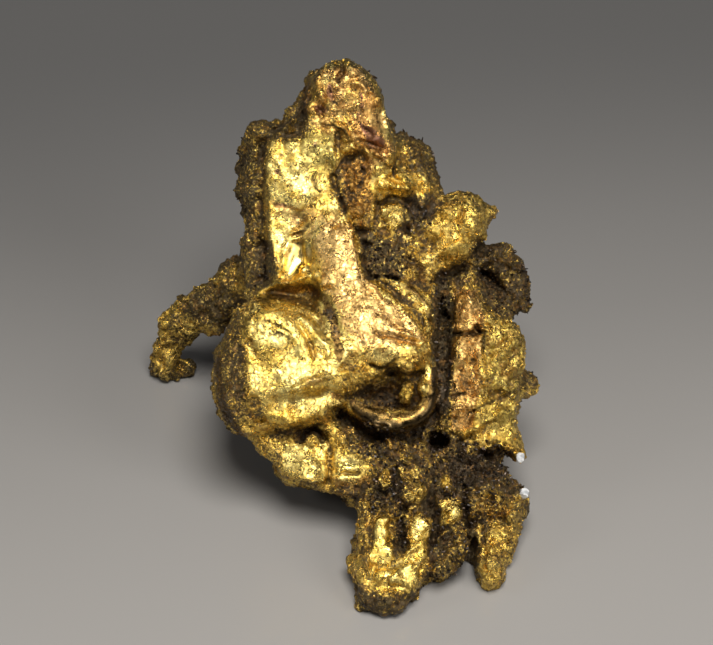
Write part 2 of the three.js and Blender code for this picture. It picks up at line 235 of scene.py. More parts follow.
def crumple(share, size, tall, turn=20, seed=1):
    """Breaks part of the face into small flat facets that meet at crisp creases, like beaten foil."""
    angle = math.radians(turn)
    dice = np.random.default_rng(seed).uniform(-1, 1, (64, 64))
    bend = 0.45 * swellings(sheet, size * 1.9, seed + 50).reshape(ACROSS.shape)
    right = (CRUMPLED_ACROSS * math.cos(angle) + CRUMPLED_UP * math.sin(angle)) / size + 32 + bend
    above = (CRUMPLED_UP * math.cos(angle) - CRUMPLED_ACROSS * math.sin(angle)) / size + 32 - bend
    i, j = np.floor(right).astype(int), np.floor(above).astype(int)
    a, b = right - i, above - j
    corners = [[dice[(i + x) % 64, (j + y) % 64] for y in (0, 1)] for x in (0, 1)]
    low, high = corners[0][0], corners[1][1]
    facet = np.where(
        a > b,
        low + a * (corners[1][0] - low) + b * (high - corners[1][0]),
        low + b * (corners[0][1] - low) + a * (high - corners[0][1]),
    )
    height[:] += RELIEF * tall * share * facet


# ---- The peak, the column and their hollow ----------------------------------------------------------------
# The tall part: a square column with a flat golden front and a dark rough side, a peak that leans to the right
# of it with a thin plate edge down its right side, and the deep hollow between them.
PEAK = [(-5, 28), (0, 29), (2, 26), (4.6, 19), (2, 17), (-2, 19), (-6, 22)]
COLUMN = [(-9.8, 20), (-3, 21), (-2, 18), (-3, 14), (-1.4, 11), (0.4, 6), (-4, 6), (-8.8, 5), (-9.8, 9)]
weld([(-7, 22), (-6.2, 18), (-3, 14.5)], 2.4)
weld([(-4, 13), (-3.2, 8)], 3)
plane([(-9.6, 12), (-6, 12), (-5.2, 10.8), (-7.6, 9.4), (-8.4, 7.6), (-9.2, 6)], 0, (-0.15, -0.25), 0.6, 1.2)
ridge([(-9.8, 20), (-9.9, 15), (-10, 10), (-9.4, 7.5), (-8.6, 5)], 0.9, 0.5, "crisp")
crumple(within(COLUMN, 1), 2.1, 0.2, 15, 3)
crumple(within(COLUMN, 1), 1.0, 0.1, 50, 4)
plane([(-5, 27), (-3.8, 27.6), (-3.9, 24.8), (-4.8, 23.8), (-5.4, 25)], 0, (0.4, 0), 0.6, 0.6)
plane([(0, 22.8), (2, 21.6), (3.4, 20.6), (3.4, 19), (1.2, 19), (0.2, 20.2)], -0.2, (-0.1, 0.3), 0.7, 0.5)
plane([(2, 24.6), (3.2, 24), (3.6, 21.6), (2.2, 21.8), (1.4, 23)], 0.1, (-0.35, -0.1), 0.6, 0.5)
crumple(within(PEAK, 1), 1.7, 0.2, 35, 5)
crumple(within(PEAK, 1), 0.9, 0.12, 0, 6)
crumple(within([(-13, 22), (-9.8, 21), (-9.8, 6), (-12, 4), (-13.4, 8)], 0.6), 0.9, 0.42, 10, 7)
ridge([(-9.2, 21.4), (-7.6, 20.7), (-6.4, 20.8), (-6, 23.4)], 0.9, -1.1)
ridge([(-6.3, 20), (-6.4, 18), (-6.2, 16)], 0.35, -0.15, "crisp")
knob((-10.5, 21.4), (1.7, 1.1), 0.8)
knob((-7.5, 22.7), (0.9, 0.8), 0.9)
knob((-7.9, 11.4), (2, 1.5), 0.15, 15, "soft")
knob((-10.4, 18.6), (1.3, 1.5), -0.6, 0, "soft")
knob((-10.5, 14.9), (0.9, 1.3), -0.5, 0, "soft")
knob((-10.3, 11.2), (0.9, 1), -0.45, 0, "soft")
knob((-10.2, 8.6), (0.8, 1), -0.4, 0, "soft")
knob((-5, 14.6), (1.6, 1.1), 0.15, -10, "soft")
ridge([(-10, 16.6), (-8.2, 16.1), (-6.6, 16.5)], 0.4, -0.1)
ridge([(-9.8, 13.4), (-8, 12.9), (-6.4, 12.2), (-4.6, 12.7)], 0.3, -0.15, "crisp")
ridge([(-4.7, 16), (-4.4, 14.6)], 0.25, -0.3, "crisp")
ridge([(-7.3, 9.8), (-6.2, 10.5), (-5.2, 11.3)], 0.4, 0.45, "crisp")
ridge([(-7, 9.5), (-5.9, 10.1), (-5.2, 10.6)], 0.35, -0.4)
plane([(-6, 21.4), (-3, 21.8), (-2.2, 20), (-2.6, 17), (-5.8, 16.4)], -0.1, (0.12, 0.1), 0.6, 0.8)
knob((-1.3, 20.7), (0.9, 0.7), 0.5)
knob((-0.9, 19.3), (0.9, 0.6), 0.5)
ridge([(-2.2, 21.2), (-2.1, 19.6), (-2.2, 18.3)], 0.35, -0.45)
ridge([(-3.2, 22.2), (-1.8, 21.8), (-0.7, 20.4), (-0.1, 18.9)], 0.45, 0.45, "crisp")
ridge([(-4.2, 21.9), (-3.2, 22), (-2.6, 22.3)], 0.3, -0.45)
ridge([(-1.8, 29.2), (-1.6, 28), (-2.1, 26.6)], 0.4, -0.5)
knob((-0.3, 28.3), (1, 1.1), 0.5)
knob((-3, 28.1), (1.2, 0.7), 0.35)
ridge([(-5.2, 27.4), (-5, 25.6), (-5.5, 24.4)], 0.45, -0.5)
ridge([(-3.9, 28), (-4.2, 26), (-3.4, 24.3)], 0.6, 0.4)
knob((-5.1, 23.8), (0.7, 0.8), 0.4)
knob((-4, 23.7), (1, 0.5), -0.45, -20, "soft")
knob((-2.8, 25.5), (0.45, 1.1), -0.35, 10, "soft")
ridge([(-0.7, 26.7), (0.6, 26.3), (2.1, 25.8)], 0.5, 0.4)
knob((-1.2, 25.2), (1, 1), 0.25, 0, "soft")
ridge([(-2.6, 23.6), (-1, 23.9), (0.2, 24.4)], 0.4, 0.3)
knob((2.4, 24.5), (0.7, 0.9), 0.5, -20)
ridge([(2.2, 25.2), (3, 24.4), (3.6, 22), (4.2, 20), (4.7, 18.8)], 0.4, 0.5, "crisp")
ridge([(0, 22.2), (0.8, 21.4), (1.9, 20.6)], 0.4, -0.35)
ridge([(0.9, 20.2), (1.9, 19.5), (3.1, 19.1)], 0.35, -0.35)
ridge([(0.3, 20.6), (1.4, 20), (2.6, 20.4)], 0.3, 0.3, "crisp")
ridge([(0.6, 19.9), (1.2, 18.8), (2.8, 18.5), (4.4, 18.7)], 0.4, 0.4, "crisp")
knob((2.5, 17.4), (1.3, 0.9), 0.4)
knob((5.1, 16.9), (0.9, 1.1), 0.5)
ridge([(4.5, 18.2), (4.1, 17.2), (4.3, 16.2)], 0.3, -0.8)
ridge([(1.9, 16.2), (3, 16), (4, 16.2)], 0.3, -0.5)
ridge([(1.6, 15.4), (3.2, 15.4), (4.6, 15), (6, 14.6)], 0.7, 0.6)
ridge([(5.4, 16.4), (7.2, 15.8), (8.6, 14.2)], 0.6, 0.15)
weld([(-3.2, 17.4), (-3, 14.8), (-1.6, 12)], 1.2, 0.8, 8)
weld([(1.6, 18.6), (2.2, 16), (2.6, 13.6)], 1.4, 0.8, 8)
plane([(-1.8, 17.6), (0.2, 18.7), (1.1, 18), (1.4, 15.2), (2.1, 13), (1.7, 10.2), (-0.3, 10.4),
       (-1.3, 12.6), (-1.9, 14.3), (-2.7, 15.6)], 0.9, (0, -0.1), 0.9, 0.4)
crumple(within([(-2.4, 17), (0.4, 18.4), (1.4, 15), (2, 10.4), (-0.6, 10.4)], 0.6), 1.1, 0.25, 70, 8)
ridge([(-2.6, 16.4), (-2.4, 15.4), (-1.9, 14.5)], 0.4, -0.6)
ridge([(-1.9, 14.3), (-1.6, 13.2), (-1.2, 11.9)], 0.3, -1.2)
ridge([(-0.9, 17.2), (-0.4, 14.8)], 0.45, 0.35)
ridge([(0.5, 17.6), (0.6, 15)], 0.4, -0.4)
knob((-0.1, 12.5), (0.8, 0.8), 0.5)
knob((0.9, 11), (0.8, 0.6), 0.5)
knob((0.8, 8.7), (1, 0.5), -1.2, -20, "soft")

# ---- The right shoulder, the ear and the dark lumps behind it ---------------------------------------------
# Rough dark metal that steps back behind the peak, a nodule and a block that stand out of it, and the ear.
weld([(6, 11), (9, 10), (11, 9.5)], 2)
weld([(3.5, 11.9), (4.1, 11.1)], 2.4, 0.7, 9)
knob((3, 11.9), (1, 0.8), 0.25, 30)
knob((4.4, 11.3), (1.1, 0.9), 0.25, -20)
knob((3.5, 10.5), (0.7, 0.6), 0.2)
ridge([(2.2, 13.3), (4, 13.7), (5.6, 13.2), (6.4, 12), (6.2, 11)], 0.6, -0.45)
SHOULDER = [(1.6, 17), (8.4, 17), (9, 11), (15, 13), (13, 8), (8, 5), (1.6, 9)]
crumple(within(SHOULDER, 1), 1.4, 0.45, 25, 9)
crumple(within(SHOULDER, 1), 0.8, 0.3, 65, 10)
crumple(within([(5, 20.5), (7.6, 20), (9, 15), (6, 16.6)], 0.6), 1.1, 0.3, 65, 11)
weld([(1.4, 7.6), (3, 7.4), (5, 6.4)], 2.4, 0.8, 10)
plane([(0.8, 8.2), (3.4, 8.4), (5, 7.6), (4.8, 5.6), (1.2, 5.5)], -0.6, None, 0.8, 0.6)
ridge([(1, 5.2), (2.8, 4.9), (4.8, 5.1)], 0.4, -1.2)
knob((6.8, 8), (1.3, 1.1), 0.5, 20)
knob((5, 9.3), (1.1, 0.8), 0.4)
knob((7.6, 13.4), (1, 1.2), 0.2, 30)
knob((7, 18), (1.2, 1.6), 0.35, 15, "soft")
knob((10.7, 8), (1.5, 0.9), 0.5, 10)
knob((12.6, 8), (0.9, 0.7), 0.5)
knob((10.5, 12.5), (1.1, 1.3), 0.6, 20)
knob((12.9, 12.5), (1.4, 1.3), 0.6, -30)
knob((14.4, 12.2), (0.9, 0.5), 0.5, 10)
knob((12.6, 10.4), (1.2, 1), 0.4)
ridge([(11.6, 13.8), (11.8, 12), (11.3, 10.6)], 0.3, -0.5)
ridge([(8, 4.6), (9.6, 5.2), (11, 5.9), (12.8, 6.4)], 0.5, -1.2)
knob((15.4, 7.4), (1.1, 0.9), 0.4)
knob((17.8, 6.8), (1.2, 1.1), 0.5)
knob((18.4, 4.8), (0.9, 0.9), 0.5)
knob((18.2, 2.4), (0.8, 1.1), 0.4)
ridge([(13, 6.2), (15, 5.2), (17, 3.2)], 0.6, -1)
crumple(within([(12.8, 8.6), (17, 8.8), (19.6, 6), (19, 0.4), (14.2, 2.6)], 0.6), 1.1, 0.6, 5, 12)

# ---- The dimple and the lip --------------------------------------------------------------------------------
# A smooth spoon-shaped dimple at the foot of the column, bright as if polished, and the thin lip under it.
plane([(-8.6, 5.6), (-8.3, 7.6), (-7, 9.6), (-5.6, 9.9), (-4.9, 8.4), (-4.8, 6.8),
       (-6.4, 5.3)], -0.1, (-0.1, -0.16), 0.9, 0.9)
knob((-6.4, 7.2), (1.5, 2.2), -0.1, -30, "soft")
ridge([(-8.3, 6), (-8.1, 7.6), (-7.2, 9), (-6, 9.6)], 0.5, 0.3)
ridge([(-4.6, 7.6), (-4.9, 6.4), (-6, 5.5)], 0.5, 0.5)
ridge([(-5.1, 10.1), (-4.7, 8.6), (-4.5, 7.6)], 0.35, -0.15)
ridge([(-12, 3.3), (-10.8, 3.3), (-9.4, 4.1), (-7.2, 4.4), (-5.4, 5.2)], 0.35, 0.6, "crisp")
ridge([(-11, 2.6), (-8.5, 3), (-6, 3.4), (-4, 3.1), (-2.8, 2)], 1.3, -0.55)
ridge([(-4.4, 3.4), (-2.9, 1.8), (-2.1, 0), (-1.7, -3)], 1.8, -0.4)

# ---- The boss ------------------------------------------------------------------------------------------------
# The great round boss. Fine steps curve across its upper part, where the metal grew in sheets, a shallow basin
# lies right of its middle, and its left side is pitted.
weld([(-3, -6), (-1.2, -8.6)], 2)
for line, tall in [
    ([(-12.6, -0.4), (-11, -0.6), (-9.5, -1.1), (-8, -2.2)], -0.35),
    ([(-12.4, 0.3), (-10.6, 0), (-9, -0.6), (-7.6, -1.6)], 0.3),
    ([(-11.8, 1), (-10, 0.6), (-8.4, -0.1), (-7.2, -1)], -0.28),
    ([(-11, 1.7), (-9.4, 1.2), (-8, 0.4), (-7, -0.4)], 0.25),
    ([(-10.8, 2.3), (-9.6, 2.3), (-8.8, 1.9), (-8, 1.2)], 0.35),
    ([(-8.8, -1.2), (-7.6, -2), (-6.9, -3)], -0.2),
]:
    ridge(line, 0.3, 0.6 * tall, "crisp")
knob((-7.2, -3), (1.6, 3.2), -0.25, 12, "soft")
crumple(within([(-12, -1), (-6, 0.6), (-3.4, -2), (-3, -6), (-6, -10), (-11.6, -8)], 2), 2.6, 0.14, 40, 13)
crumple(within([(-15.6, -2), (-12, 1.6), (-11, -4), (-12, -12), (-15.4, -9)], 0.8), 0.9, 0.3, 0, 14)
ridge([(-6.3, 0.8), (-4.6, -0.6), (-3.5, -2.4), (-3.2, -4)], 0.7, 0.35)
ridge([(-6.6, 0.1), (-5.6, -1.5), (-4.8, -2.6), (-4.5, -4)], 0.4, -0.4)
ridge([(-6.3, 2.1), (-5.1, 1.3), (-4.4, 0.4)], 0.4, 0.5, "crisp")
ridge([(-5, 2.5), (-4.1, 2), (-3.6, 1.6)], 0.35, 0.4, "crisp")
ridge([(-2.8, -5.6), (-4.6, -6.2), (-6.2, -7), (-7.4, -7.8)], 0.5, 0.5, "crisp")
plane([(-9.5, -8.4), (-3, -7.6), (-1.6, -9), (-3.6, -10.8), (-8.6, -11.2)], 0.3, (-0.05, -0.45), 0.85, 1.4)
plane([(-12, 1), (-8, 1.4), (-7, -1), (-9, -2.5), (-12.4, -1)], 0, (-0.05, -0.35), 0.5, 1.8)
crumple(within([(-11, -8), (-3, -7), (-2, -9), (-4, -11), (-9, -12)], 1.2), 1.1, 0.22, 70, 25)
knob((-11.1, -8.8), (0.6, 0.8), -0.6)
knob((-10.4, -11), (0.9, 0.6), -0.7)
knob((-12, -2.2), (0.4, 0.5), -0.5)
knob((-11.5, -3.6), (0.5, 0.7), -0.4)
knob((-9, -10.6), (0.9, 0.5), 0.4)
knob((-7.4, -11.4), (1, 0.7), 0.5)
ridge([(-3, -10.7), (-4, -11.2), (-5.4, -11.2), (-6.6, -12)], 0.35, 0.4, "crisp")
ridge([(-15, -7.6), (-14, -9.6), (-12.6, -11.8)], 0.5, 0.4)
knob((-12.2, -12.2), (0.8, 0.6), 0.4)

# ---- The tongue and the curl ---------------------------------------------------------------------------------
# A broad coppery tongue that runs down to the right, and the smooth curl of metal rolled up under its end.
weld([(-1, 5), (3, 0), (5, -3)], 2)
TONGUE = [(-3, 12), (-0.6, 10.6), (0.8, 5), (4, 3), (7.6, -1), (7.6, -4), (1, -5), (-1.6, 0), (-3.8, 4)]
plane([(-4.8, 11), (-0.8, 10.4), (0.4, 6.4), (1.4, 4.8), (-0.4, 1.4), (-3.4, 3),
       (-4.8, 5.6)], 0.1, (-0.08, -0.12), 0.7, 1.4)
plane([(-2.4, 3), (1.4, 4.8), (5, 2), (7, -1), (5, -2.4), (1, -3), (-1.2, -1)], 0.1, None, 0.5, 2)
weld([(-4.8, 11.4), (-4.4, 8.6), (-3.9, 5.6)], 2, 0.9, 6)
weld([(-3.4, 3.6), (-2, 1), (-1.4, -3)], 2, 0.75, 7)
plane([(-1, -3.2), (4, -2.6), (7.4, -2.6), (7, -4.6), (2, -5.2), (-1.8, -5.4)], 0, (0.05, 0.4), 0.7, 0.9)
crumple(within(TONGUE, 1.4), 1.9, 0.16, 30, 15)
crumple(within(TONGUE, 1.4), 1.2, 0.1, 5, 16)
ridge([(-0.6, 11), (0.2, 8), (0.8, 6.4), (1.6, 5)], 0.6, -0.9)
ridge([(1.4, 4.5), (3, 3.5), (4.5, 2.2), (6, 0.4), (7.2, -1.4)], 0.5, 0.4, "crisp")
ridge([(2.4, 4.7), (4.2, 3.5), (5.6, 2.1), (7, 0), (7.8, -1.6)], 0.35, -0.4)
ridge([(1.6, -1.4), (4, -1.5), (6, -2.2), (7.4, -2.5)], 0.4, -0.35)
ridge([(4.6, -0.8), (6.2, -1.3), (7.6, -1.9)], 0.4, 0.35, "crisp")
ridge([(2, 1.4), (4, 0.2), (5.6, -1)], 0.35, -0.2)
knob((7.9, -3), (0.9, 0.8), 0.5)
knob((6.8, -3.9), (1, 0.8), 0.4)
knob((5.6, -5), (1, 0.8), 0.5, 20)
knob((7.3, -4.6), (0.7, 0.5), 0.4)
knob((3.9, -5.2), (1.3, 1), -0.9, 0, "soft")
knob((3.6, -8.2), (3.4, 2.2), -1.2, 10, "soft")
crumple(patch((2.6, -6.8), (3.6, 2.6), 0, "flat"), 1.1, 0.4, 45, 17)
knob((5.6, -7.8), (0.9, 1.3), 1.3, -20)
knob((7.4, -7.2), (0.5, 1.1), 0.9)
knob((0.4, -6), (1.1, 0.9), 0.5, 20)
knob((-0.7, -7.1), (0.9, 0.6), 0.4)
knob((2, -7.6), (0.5, 1.1), 0.6, -25)
ridge([(1.4, -4.4), (2.4, -4.9), (3.4, -4.6)], 0.35, -0.5)

# ---- The right plate -----------------------------------------------------------------------------------------
# A thick plate with torn edges that stands proud at the right. It is folded along its middle, and ridges run
# slantwise down its yellow half.
ridge([(14, 0.6), (13.8, -4), (13.9, -9), (13.4, -13)], 0.9, 0.45)
PLATE = [(10.6, 4), (14, 3), (18.4, 0), (18.6, -8), (17.6, -14.6), (10.6, -13), (10.2, -4)]
crumple(within(PLATE, 0.8), 1.5, 0.3, 60, 18)
crumple(within(PLATE, 0.8), 0.75, 0.3, 20, 19)
ridge([(18.3, -5.4), (16, -6.4), (13.6, -7.6)], 0.6, 0.5, "crisp")
ridge([(16.6, -9.6), (14.4, -11), (12, -12.5)], 0.6, 0.5, "crisp")
ridge([(18, -7.4), (15, -8.8), (12.6, -10.2)], 0.6, -0.4)
ridge([(17.6, -2), (16.4, -3.4), (15, -4.2)], 0.5, 0.3)
knob((12.2, 2.8), (1.1, 1.7), 0.4)
knob((14.9, 0.7), (0.9, 1), 0.5)
ridge([(10.6, -1.3), (12, -1.4), (13.4, -1.1)], 0.35, -0.7)
ridge([(14.3, -0.8), (14.2, -3)], 0.35, -0.5)
ridge([(10.4, -8.4), (12, -7.7)], 0.3, -0.6)
knob((11.2, -10), (1, 1), 0.3)
knob((17, -12.6), (0.7, 1), 0.3)

# ---- The block under the boss --------------------------------------------------------------------------------
# A slab and a wedge that hang under the boss, each broken to flat bright facets, with a golden strap across.
plane([(-8.3, -14), (-4.4, -13.3), (-3.4, -14.6), (-3.3, -17.6), (-5.6, -17.6),
       (-8.4, -16.4)], 0.3, (0.25, -0.15), 0.85, 0.4)
plane([(-2.7, -13.8), (-0.2, -13.8), (2, -16.2), (-2.3, -16.7)], 0.5, (0.1, -0.02), 0.95, 0.35)
plane([(-3, -17), (2, -16.8), (0.8, -19.8), (-1.6, -19.2)], 0.2, (0, 0.3), 0.9, 0.4)
crumple(within([(-9, -13), (-3, -12), (2.2, -16), (1, -20), (-9, -17.6)], 0.6), 1.6, 0.13, 10, 20)
ridge([(-3.5, -12), (-3, -14.2), (-3.2, -16), (-2.9, -18.2)], 0.3, -0.3)
ridge([(-2.6, -16.7), (-0.4, -16.4), (1.9, -16.5)], 0.35, 0.2, "crisp")
ridge([(-8, -16.8), (-6.6, -17.6), (-4.6, -17.8)], 0.5, 0.3)
ridge([(-5.2, -14.4), (-4, -15.8), (-3.8, -17.4)], 0.4, 0.3, "crisp")
knob((-4, -18.5), (0.9, 0.6), 0.3)
knob((-5, -12.8), (0.9, 0.9), 1.2)

# ---- The bed and the feet ------------------------------------------------------------------------------------
# The rough dark bed under the curl, and the two forward feet and the stub between them that grow from it.
weld([(4, -18), (8, -19), (12, -18)], 3.4)
weld([(8.2, -22), (8.4, -26)], 1)
BED = [(-2, -11), (10, -12), (18, -14), (19, -19), (13.6, -23), (1, -21), (2.2, -16), (-0.6, -14)]
FEET = [(0, -20.4), (13, -20.4), (19, -19.6), (15.6, -30.6), (13, -29), (12, -26.4), (6.6, -31), (0.6, -32)]
crumple(within(BED, 1), 1.7, 0.6, 15, 21)
crumple(within(BED, 1), 0.8, 0.45, 60, 22)
crumple(within(FEET, 1), 1.6, 0.5, 40, 23)
crumple(within(FEET, 1), 0.8, 0.38, 5, 24)
FOOT_FACET = [(2.2, -21.5), (3.6, -21.6), (4.1, -26), (3.7, -27.1), (1.2, -27), (1.8, -24.2)]
plane(FOOT_FACET, 1, (0.02, -0.08), 1, 0.3)
plane([(1.2, -27.4), (6.4, -26.8), (6, -29), (3.6, -30.2), (1.4, -29.2)], 0.2, (-0.12, -0.3), 0.75, 0.9)
weld([(4.9, -21.6), (4.9, -25.4)], 1.8, 0.9, 7)
ridge([(5, -21.8), (5, -23.6), (5, -25.2)], 0.9, -0.9)
ridge([(7, -21.6), (7.2, -25), (6.4, -27.4), (4, -28.8)], 1.5, 0.6, "round")
ridge([(1, -21.8), (0.9, -25), (1.2, -28.4)], 0.6, 0.4)
knob((3.4, -28.2), (1.6, 1.1), 0.5, 10)
knob((10.4, -21), (1.3, 1.6), 0.8)
knob((3.2, -17.6), (0.9, 1.4), 0.9)
knob((6.4, -18.8), (1.7, 1.5), 0.9)
knob((10.2, -18.2), (0.9, 1.1), 0.9)
knob((13.4, -20.6), (1.2, 1.4), 0.6)
ridge([(4.4, -16), (4.8, -18), (4.4, -20)], 0.5, -0.9)
ridge([(8.4, -16.6), (8.4, -19.4), (8.8, -22.6), (8.2, -26)], 0.6, -1)
ridge([(11.9, -18), (12.2, -21), (12.6, -24)], 0.7, -1.3)
knob((5.6, -15), (1.1, 0.8), 0.4)
knob((10.4, -15.2), (1.4, 0.9), 0.4, -20)
knob((1.4, -13.6), (1.3, 0.8), 0.3, -30)
knob((11.6, -24.6), (1, 1.3), 0.5)
knob((9.4, -26.9), (1, 0.9), 0.4)
ridge([(8, -19.6), (8.5, -22), (8.4, -25)], 0.5, -0.9)
knob((15.8, -23.4), (1, 1.2), 0.5, 20)
knob((14.6, -29), (1, 1), 0.5)
knob((15.2, -26.8), (0.9, 0.8), 0.4)
knob((17.8, -19.4), (1, 1), 0.5)
knob((15.2, -18.6), (1.4, 1), 0.5)
ridge([(13.8, -22), (14.6, -25.8), (14.4, -28)], 0.35, -0.5)

# ---- The back --------------------------------------------------------------------------------------------------
# The back of the copper: low lobes of the same metal lie against each other all over it, joined to the block of
# cells as ovals, and its skin is lumpy where it grew against the rock.
def cells_between(low, high):
    """The part of the block of cells between two places, and the place of each cell in it."""
    first = np.maximum(((low - block_low) / CELL).astype(int), 0)
    last = np.minimum(((high - block_low) / CELL).astype(int) + 1, block_size)
    places = (block_low[i] + CELL * np.arange(first[i], last[i]) for i in range(3))
    return tuple(slice(a, b) for a, b in zip(first, last)), np.stack(np.meshgrid(*places, indexing="ij"), axis=-1)


KNOB_ROOT = 4.0  # cells, how widely a knob runs into the skin at its root
MARGIN = 1.2  # mm, how far round a knob or a roll the cells are worked


def set_knob(at, radii, turn=0):
    """Joins an oval knob, given across, up and out of the face, to the block of cells."""
    reach = max(radii) + MARGIN
    window, grid = cells_between(np.array(at) - reach, np.array(at) + reach)
    across, up, out = np.moveaxis(grid - at, -1, 0)
    angle = math.radians(turn)
    right = across * math.cos(angle) + up * math.sin(angle)
    above = up * math.cos(angle) - across * math.sin(angle)
    q = np.sqrt((right / radii[0]) ** 2 + (above / radii[1]) ** 2 + (out / radii[2]) ** 2)
    oval = (q - 1) * min(radii) / CELL
    blend = np.maximum(KNOB_ROOT - np.abs(cells[window] - oval), 0) / KNOB_ROOT
    cells[window] = np.minimum(cells[window], oval) - blend * blend * KNOB_ROOT / 4


back_cell = np.argmax(solid, axis=2)
for at, radii, out in [
    ((-7, 17), (3.4, 4), 2.2),
    ((-1.5, 23), (3.2, 3.6), 2),
    ((-3, 12.5), (4.2, 3.6), 2.6),
    ((3, 16), (3, 3.6), 2.2),
    ((-8, 8), (3.6, 4), 2.4),
    ((3.5, 8), (4, 3.4), 2.6),
    ((-2, 5), (3.6, 3), 2.6),
    ((10, 9), (3.4, 2.8), 2),
    ((9, 3), (3.6, 3.4), 2.4),
    ((-8, 0.5), (4, 3.4), 2.2),
    ((2.5, 0), (3.6, 3.2), 2.4),
    ((14.5, 3.5), (2.8, 3), 1.8),
    ((-3, -3.5), (3.6, 2.8), 2),
    ((8.5, -4), (3.6, 3), 2.2),
    ((14.5, -4), (2.8, 3.4), 1.8),
]:
    spot = tuple(((np.array(at) - block_low[:2]) / CELL).astype(int))
    set_knob((*at, block_low[2] + CELL * back_cell[spot] + 0.2 * out), (*radii, out))

near_skin = np.argwhere(np.abs(cells) < BAND - 0.01)
skin_places = near_skin * CELL + block_low
sheet_height = rough_height[near_skin[:, 0], near_skin[:, 1]]
BEHIND_FACE = 2.5  # mm, how far behind the face the lumps begin
ABOVE_TABLE = 0.8  # mm, how far above the table they begin
FADE_IN = 3  # mm, over which they grow to their full size
lumpy = np.clip((sheet_height - skin_places[:, 2] - BEHIND_FACE) / FADE_IN, 0, 1)
lumpy *= np.clip((off_face(skin_places)[:, 2] * 1000 - ABOVE_TABLE) / FADE_IN, 0, 1)
lumps = 3.2 * swellings(skin_places, 4.6, 31) + 2.2 * swellings(skin_places, 2, 32)
lumps += 3 * (0.4 - np.abs(swellings(skin_places, 2.6, 33)))
cells[tuple(near_skin.T)] -= (lumpy * lumps).astype(np.float32)

# ---- The arm and the knobs round the outline -------------------------------------------------------------------
# The arm that props the nugget up at the left, and small knobs and teeth of metal that break the outline, each
# grown into the skin. Slots are cut where two lobes stand apart, and thin rolls of metal laid along their lips.


def from_rod(grid, a, b, small, large):
    """How far each cell is from the skin of a rod that tapers from one radius to another."""
    run = b - a
    share = np.clip(((grid - a) @ run) / (run @ run), 0, 1)
    return np.linalg.norm(grid - a - share[..., None] * run, axis=-1) - (small + share * (large - small))


def cut(line, radii):
    """Cuts a round-bottomed slot along a line of places across, up and out of the face."""
    line = np.array(line, float)
    reach = max(radii) + 0.8
    window, grid = cells_between(line.min(0) - reach, line.max(0) + reach)
    nearest = np.min([from_rod(grid, *rod) for rod in zip(line, line[1:], radii, radii[1:])], axis=0)
    cells[window] = np.maximum(cells[window], -nearest / CELL)


def on_face(line, radii, sink):
    """Places on the face, sunk below it by a share of a radius."""
    smooth = soften((height * on_lump).astype(np.float32), 3, (0, 1)) / (soften(reach_out, 3, (0, 1)) + 1e-6)
    spots = [tuple(((np.array(place) - block_low[:2]) / CELL).astype(int)) for place in line]
    return np.array([(*place, smooth[spot] - sink * radius) for place, spot, radius in zip(line, spots, radii)])


def score(line, radii, sink=0.6):
    """Cuts a slot that follows the face, as deep as a share of its own radius."""
    cut(on_face(line, radii, sink), radii)


ROLL_ROOT = 1.2  # cells, how widely a roll runs into the skin


def roll(line, radii, sink=0.4):
    """Lays a smooth roll of metal along the face, sunk into it by a share of its thickness."""
    line = on_face(line, radii, sink)
    for a, b, small, large in zip(line, line[1:], radii, radii[1:]):
        reach = max(small, large) + MARGIN
        window, grid = cells_between(np.minimum(a, b) - reach, np.maximum(a, b) + reach)
        rod = from_rod(grid, a, b, small, large) / CELL
        blend = np.maximum(ROLL_ROOT - np.abs(cells[window] - rod), 0) / ROLL_ROOT
        cells[window] = np.minimum(cells[window], rod) - blend * blend * (ROLL_ROOT / 4)


# The thick lumps of the right foot and the arm carry the crumpled face, so they are joined before it is worked.
for at, radii, turn in [
    ((15.8, -22.4, 8.4), (2.5, 2.4, 1.8), 10),
    ((15.3, -25, 9.4), (2.1, 2.4, 1.7), 10),
    ((14.8, -28, 10.9), (1.5, 1.9, 1.5), 10),
    ((12.6, -24.6, 7.6), (1.4, 2.6, 1.6), 10),
    ((-13.2, 4.6, -7), (1.9, 2, 2.4), 30),
    ((-14.8, 2.6, -8.6), (2, 1.9, 2.4), 30),
    ((-16.6, 2.6, -10.2), (2.2, 1.5, 2.2), 35),
    ((-15.8, 0.2, -9.6), (1.7, 1.3, 2), 10),
    ((-18.6, 1.3, -12), (2, 1.5, 1.9), 35),
    ((-17.6, 0, -11.4), (1.5, 0.9, 1.6), 20),
    ((-20, -0.2, -13.2), (1.5, 1.7, 1.6), 50),
    ((-19.6, -1.4, -13.6), (1.2, 1.3, 1.4), 0),
    ((-20.9, -2.2, -14.6), (1.2, 1.6, 1.4), 0),
    ((-21.7, -4.6, -16.2), (1.4, 1.4, 1.2), 0),
    ((-20.4, -5.1, -16.6), (1.6, 1.1, 1.1), 10),
    ((-18.8, -4.9, -16.6), (1.1, 0.8, 0.9), 0),
]:
    set_knob(at, radii, turn)
ARM = [(-12.4, 8), (-13, 2), (-17, -4), (-18, -7), (-24, -7), (-24, -3), (-20, 3)]
crumple(within(ARM, 1), 1.3, 0.4, 15, 26)
crumple(within(ARM, 1), 0.7, 0.3, 60, 27)
crumple(within([(12.8, -20), (19.6, -19), (16, -31), (13, -30)], 0.6), 1.1, 0.4, 25, 28)

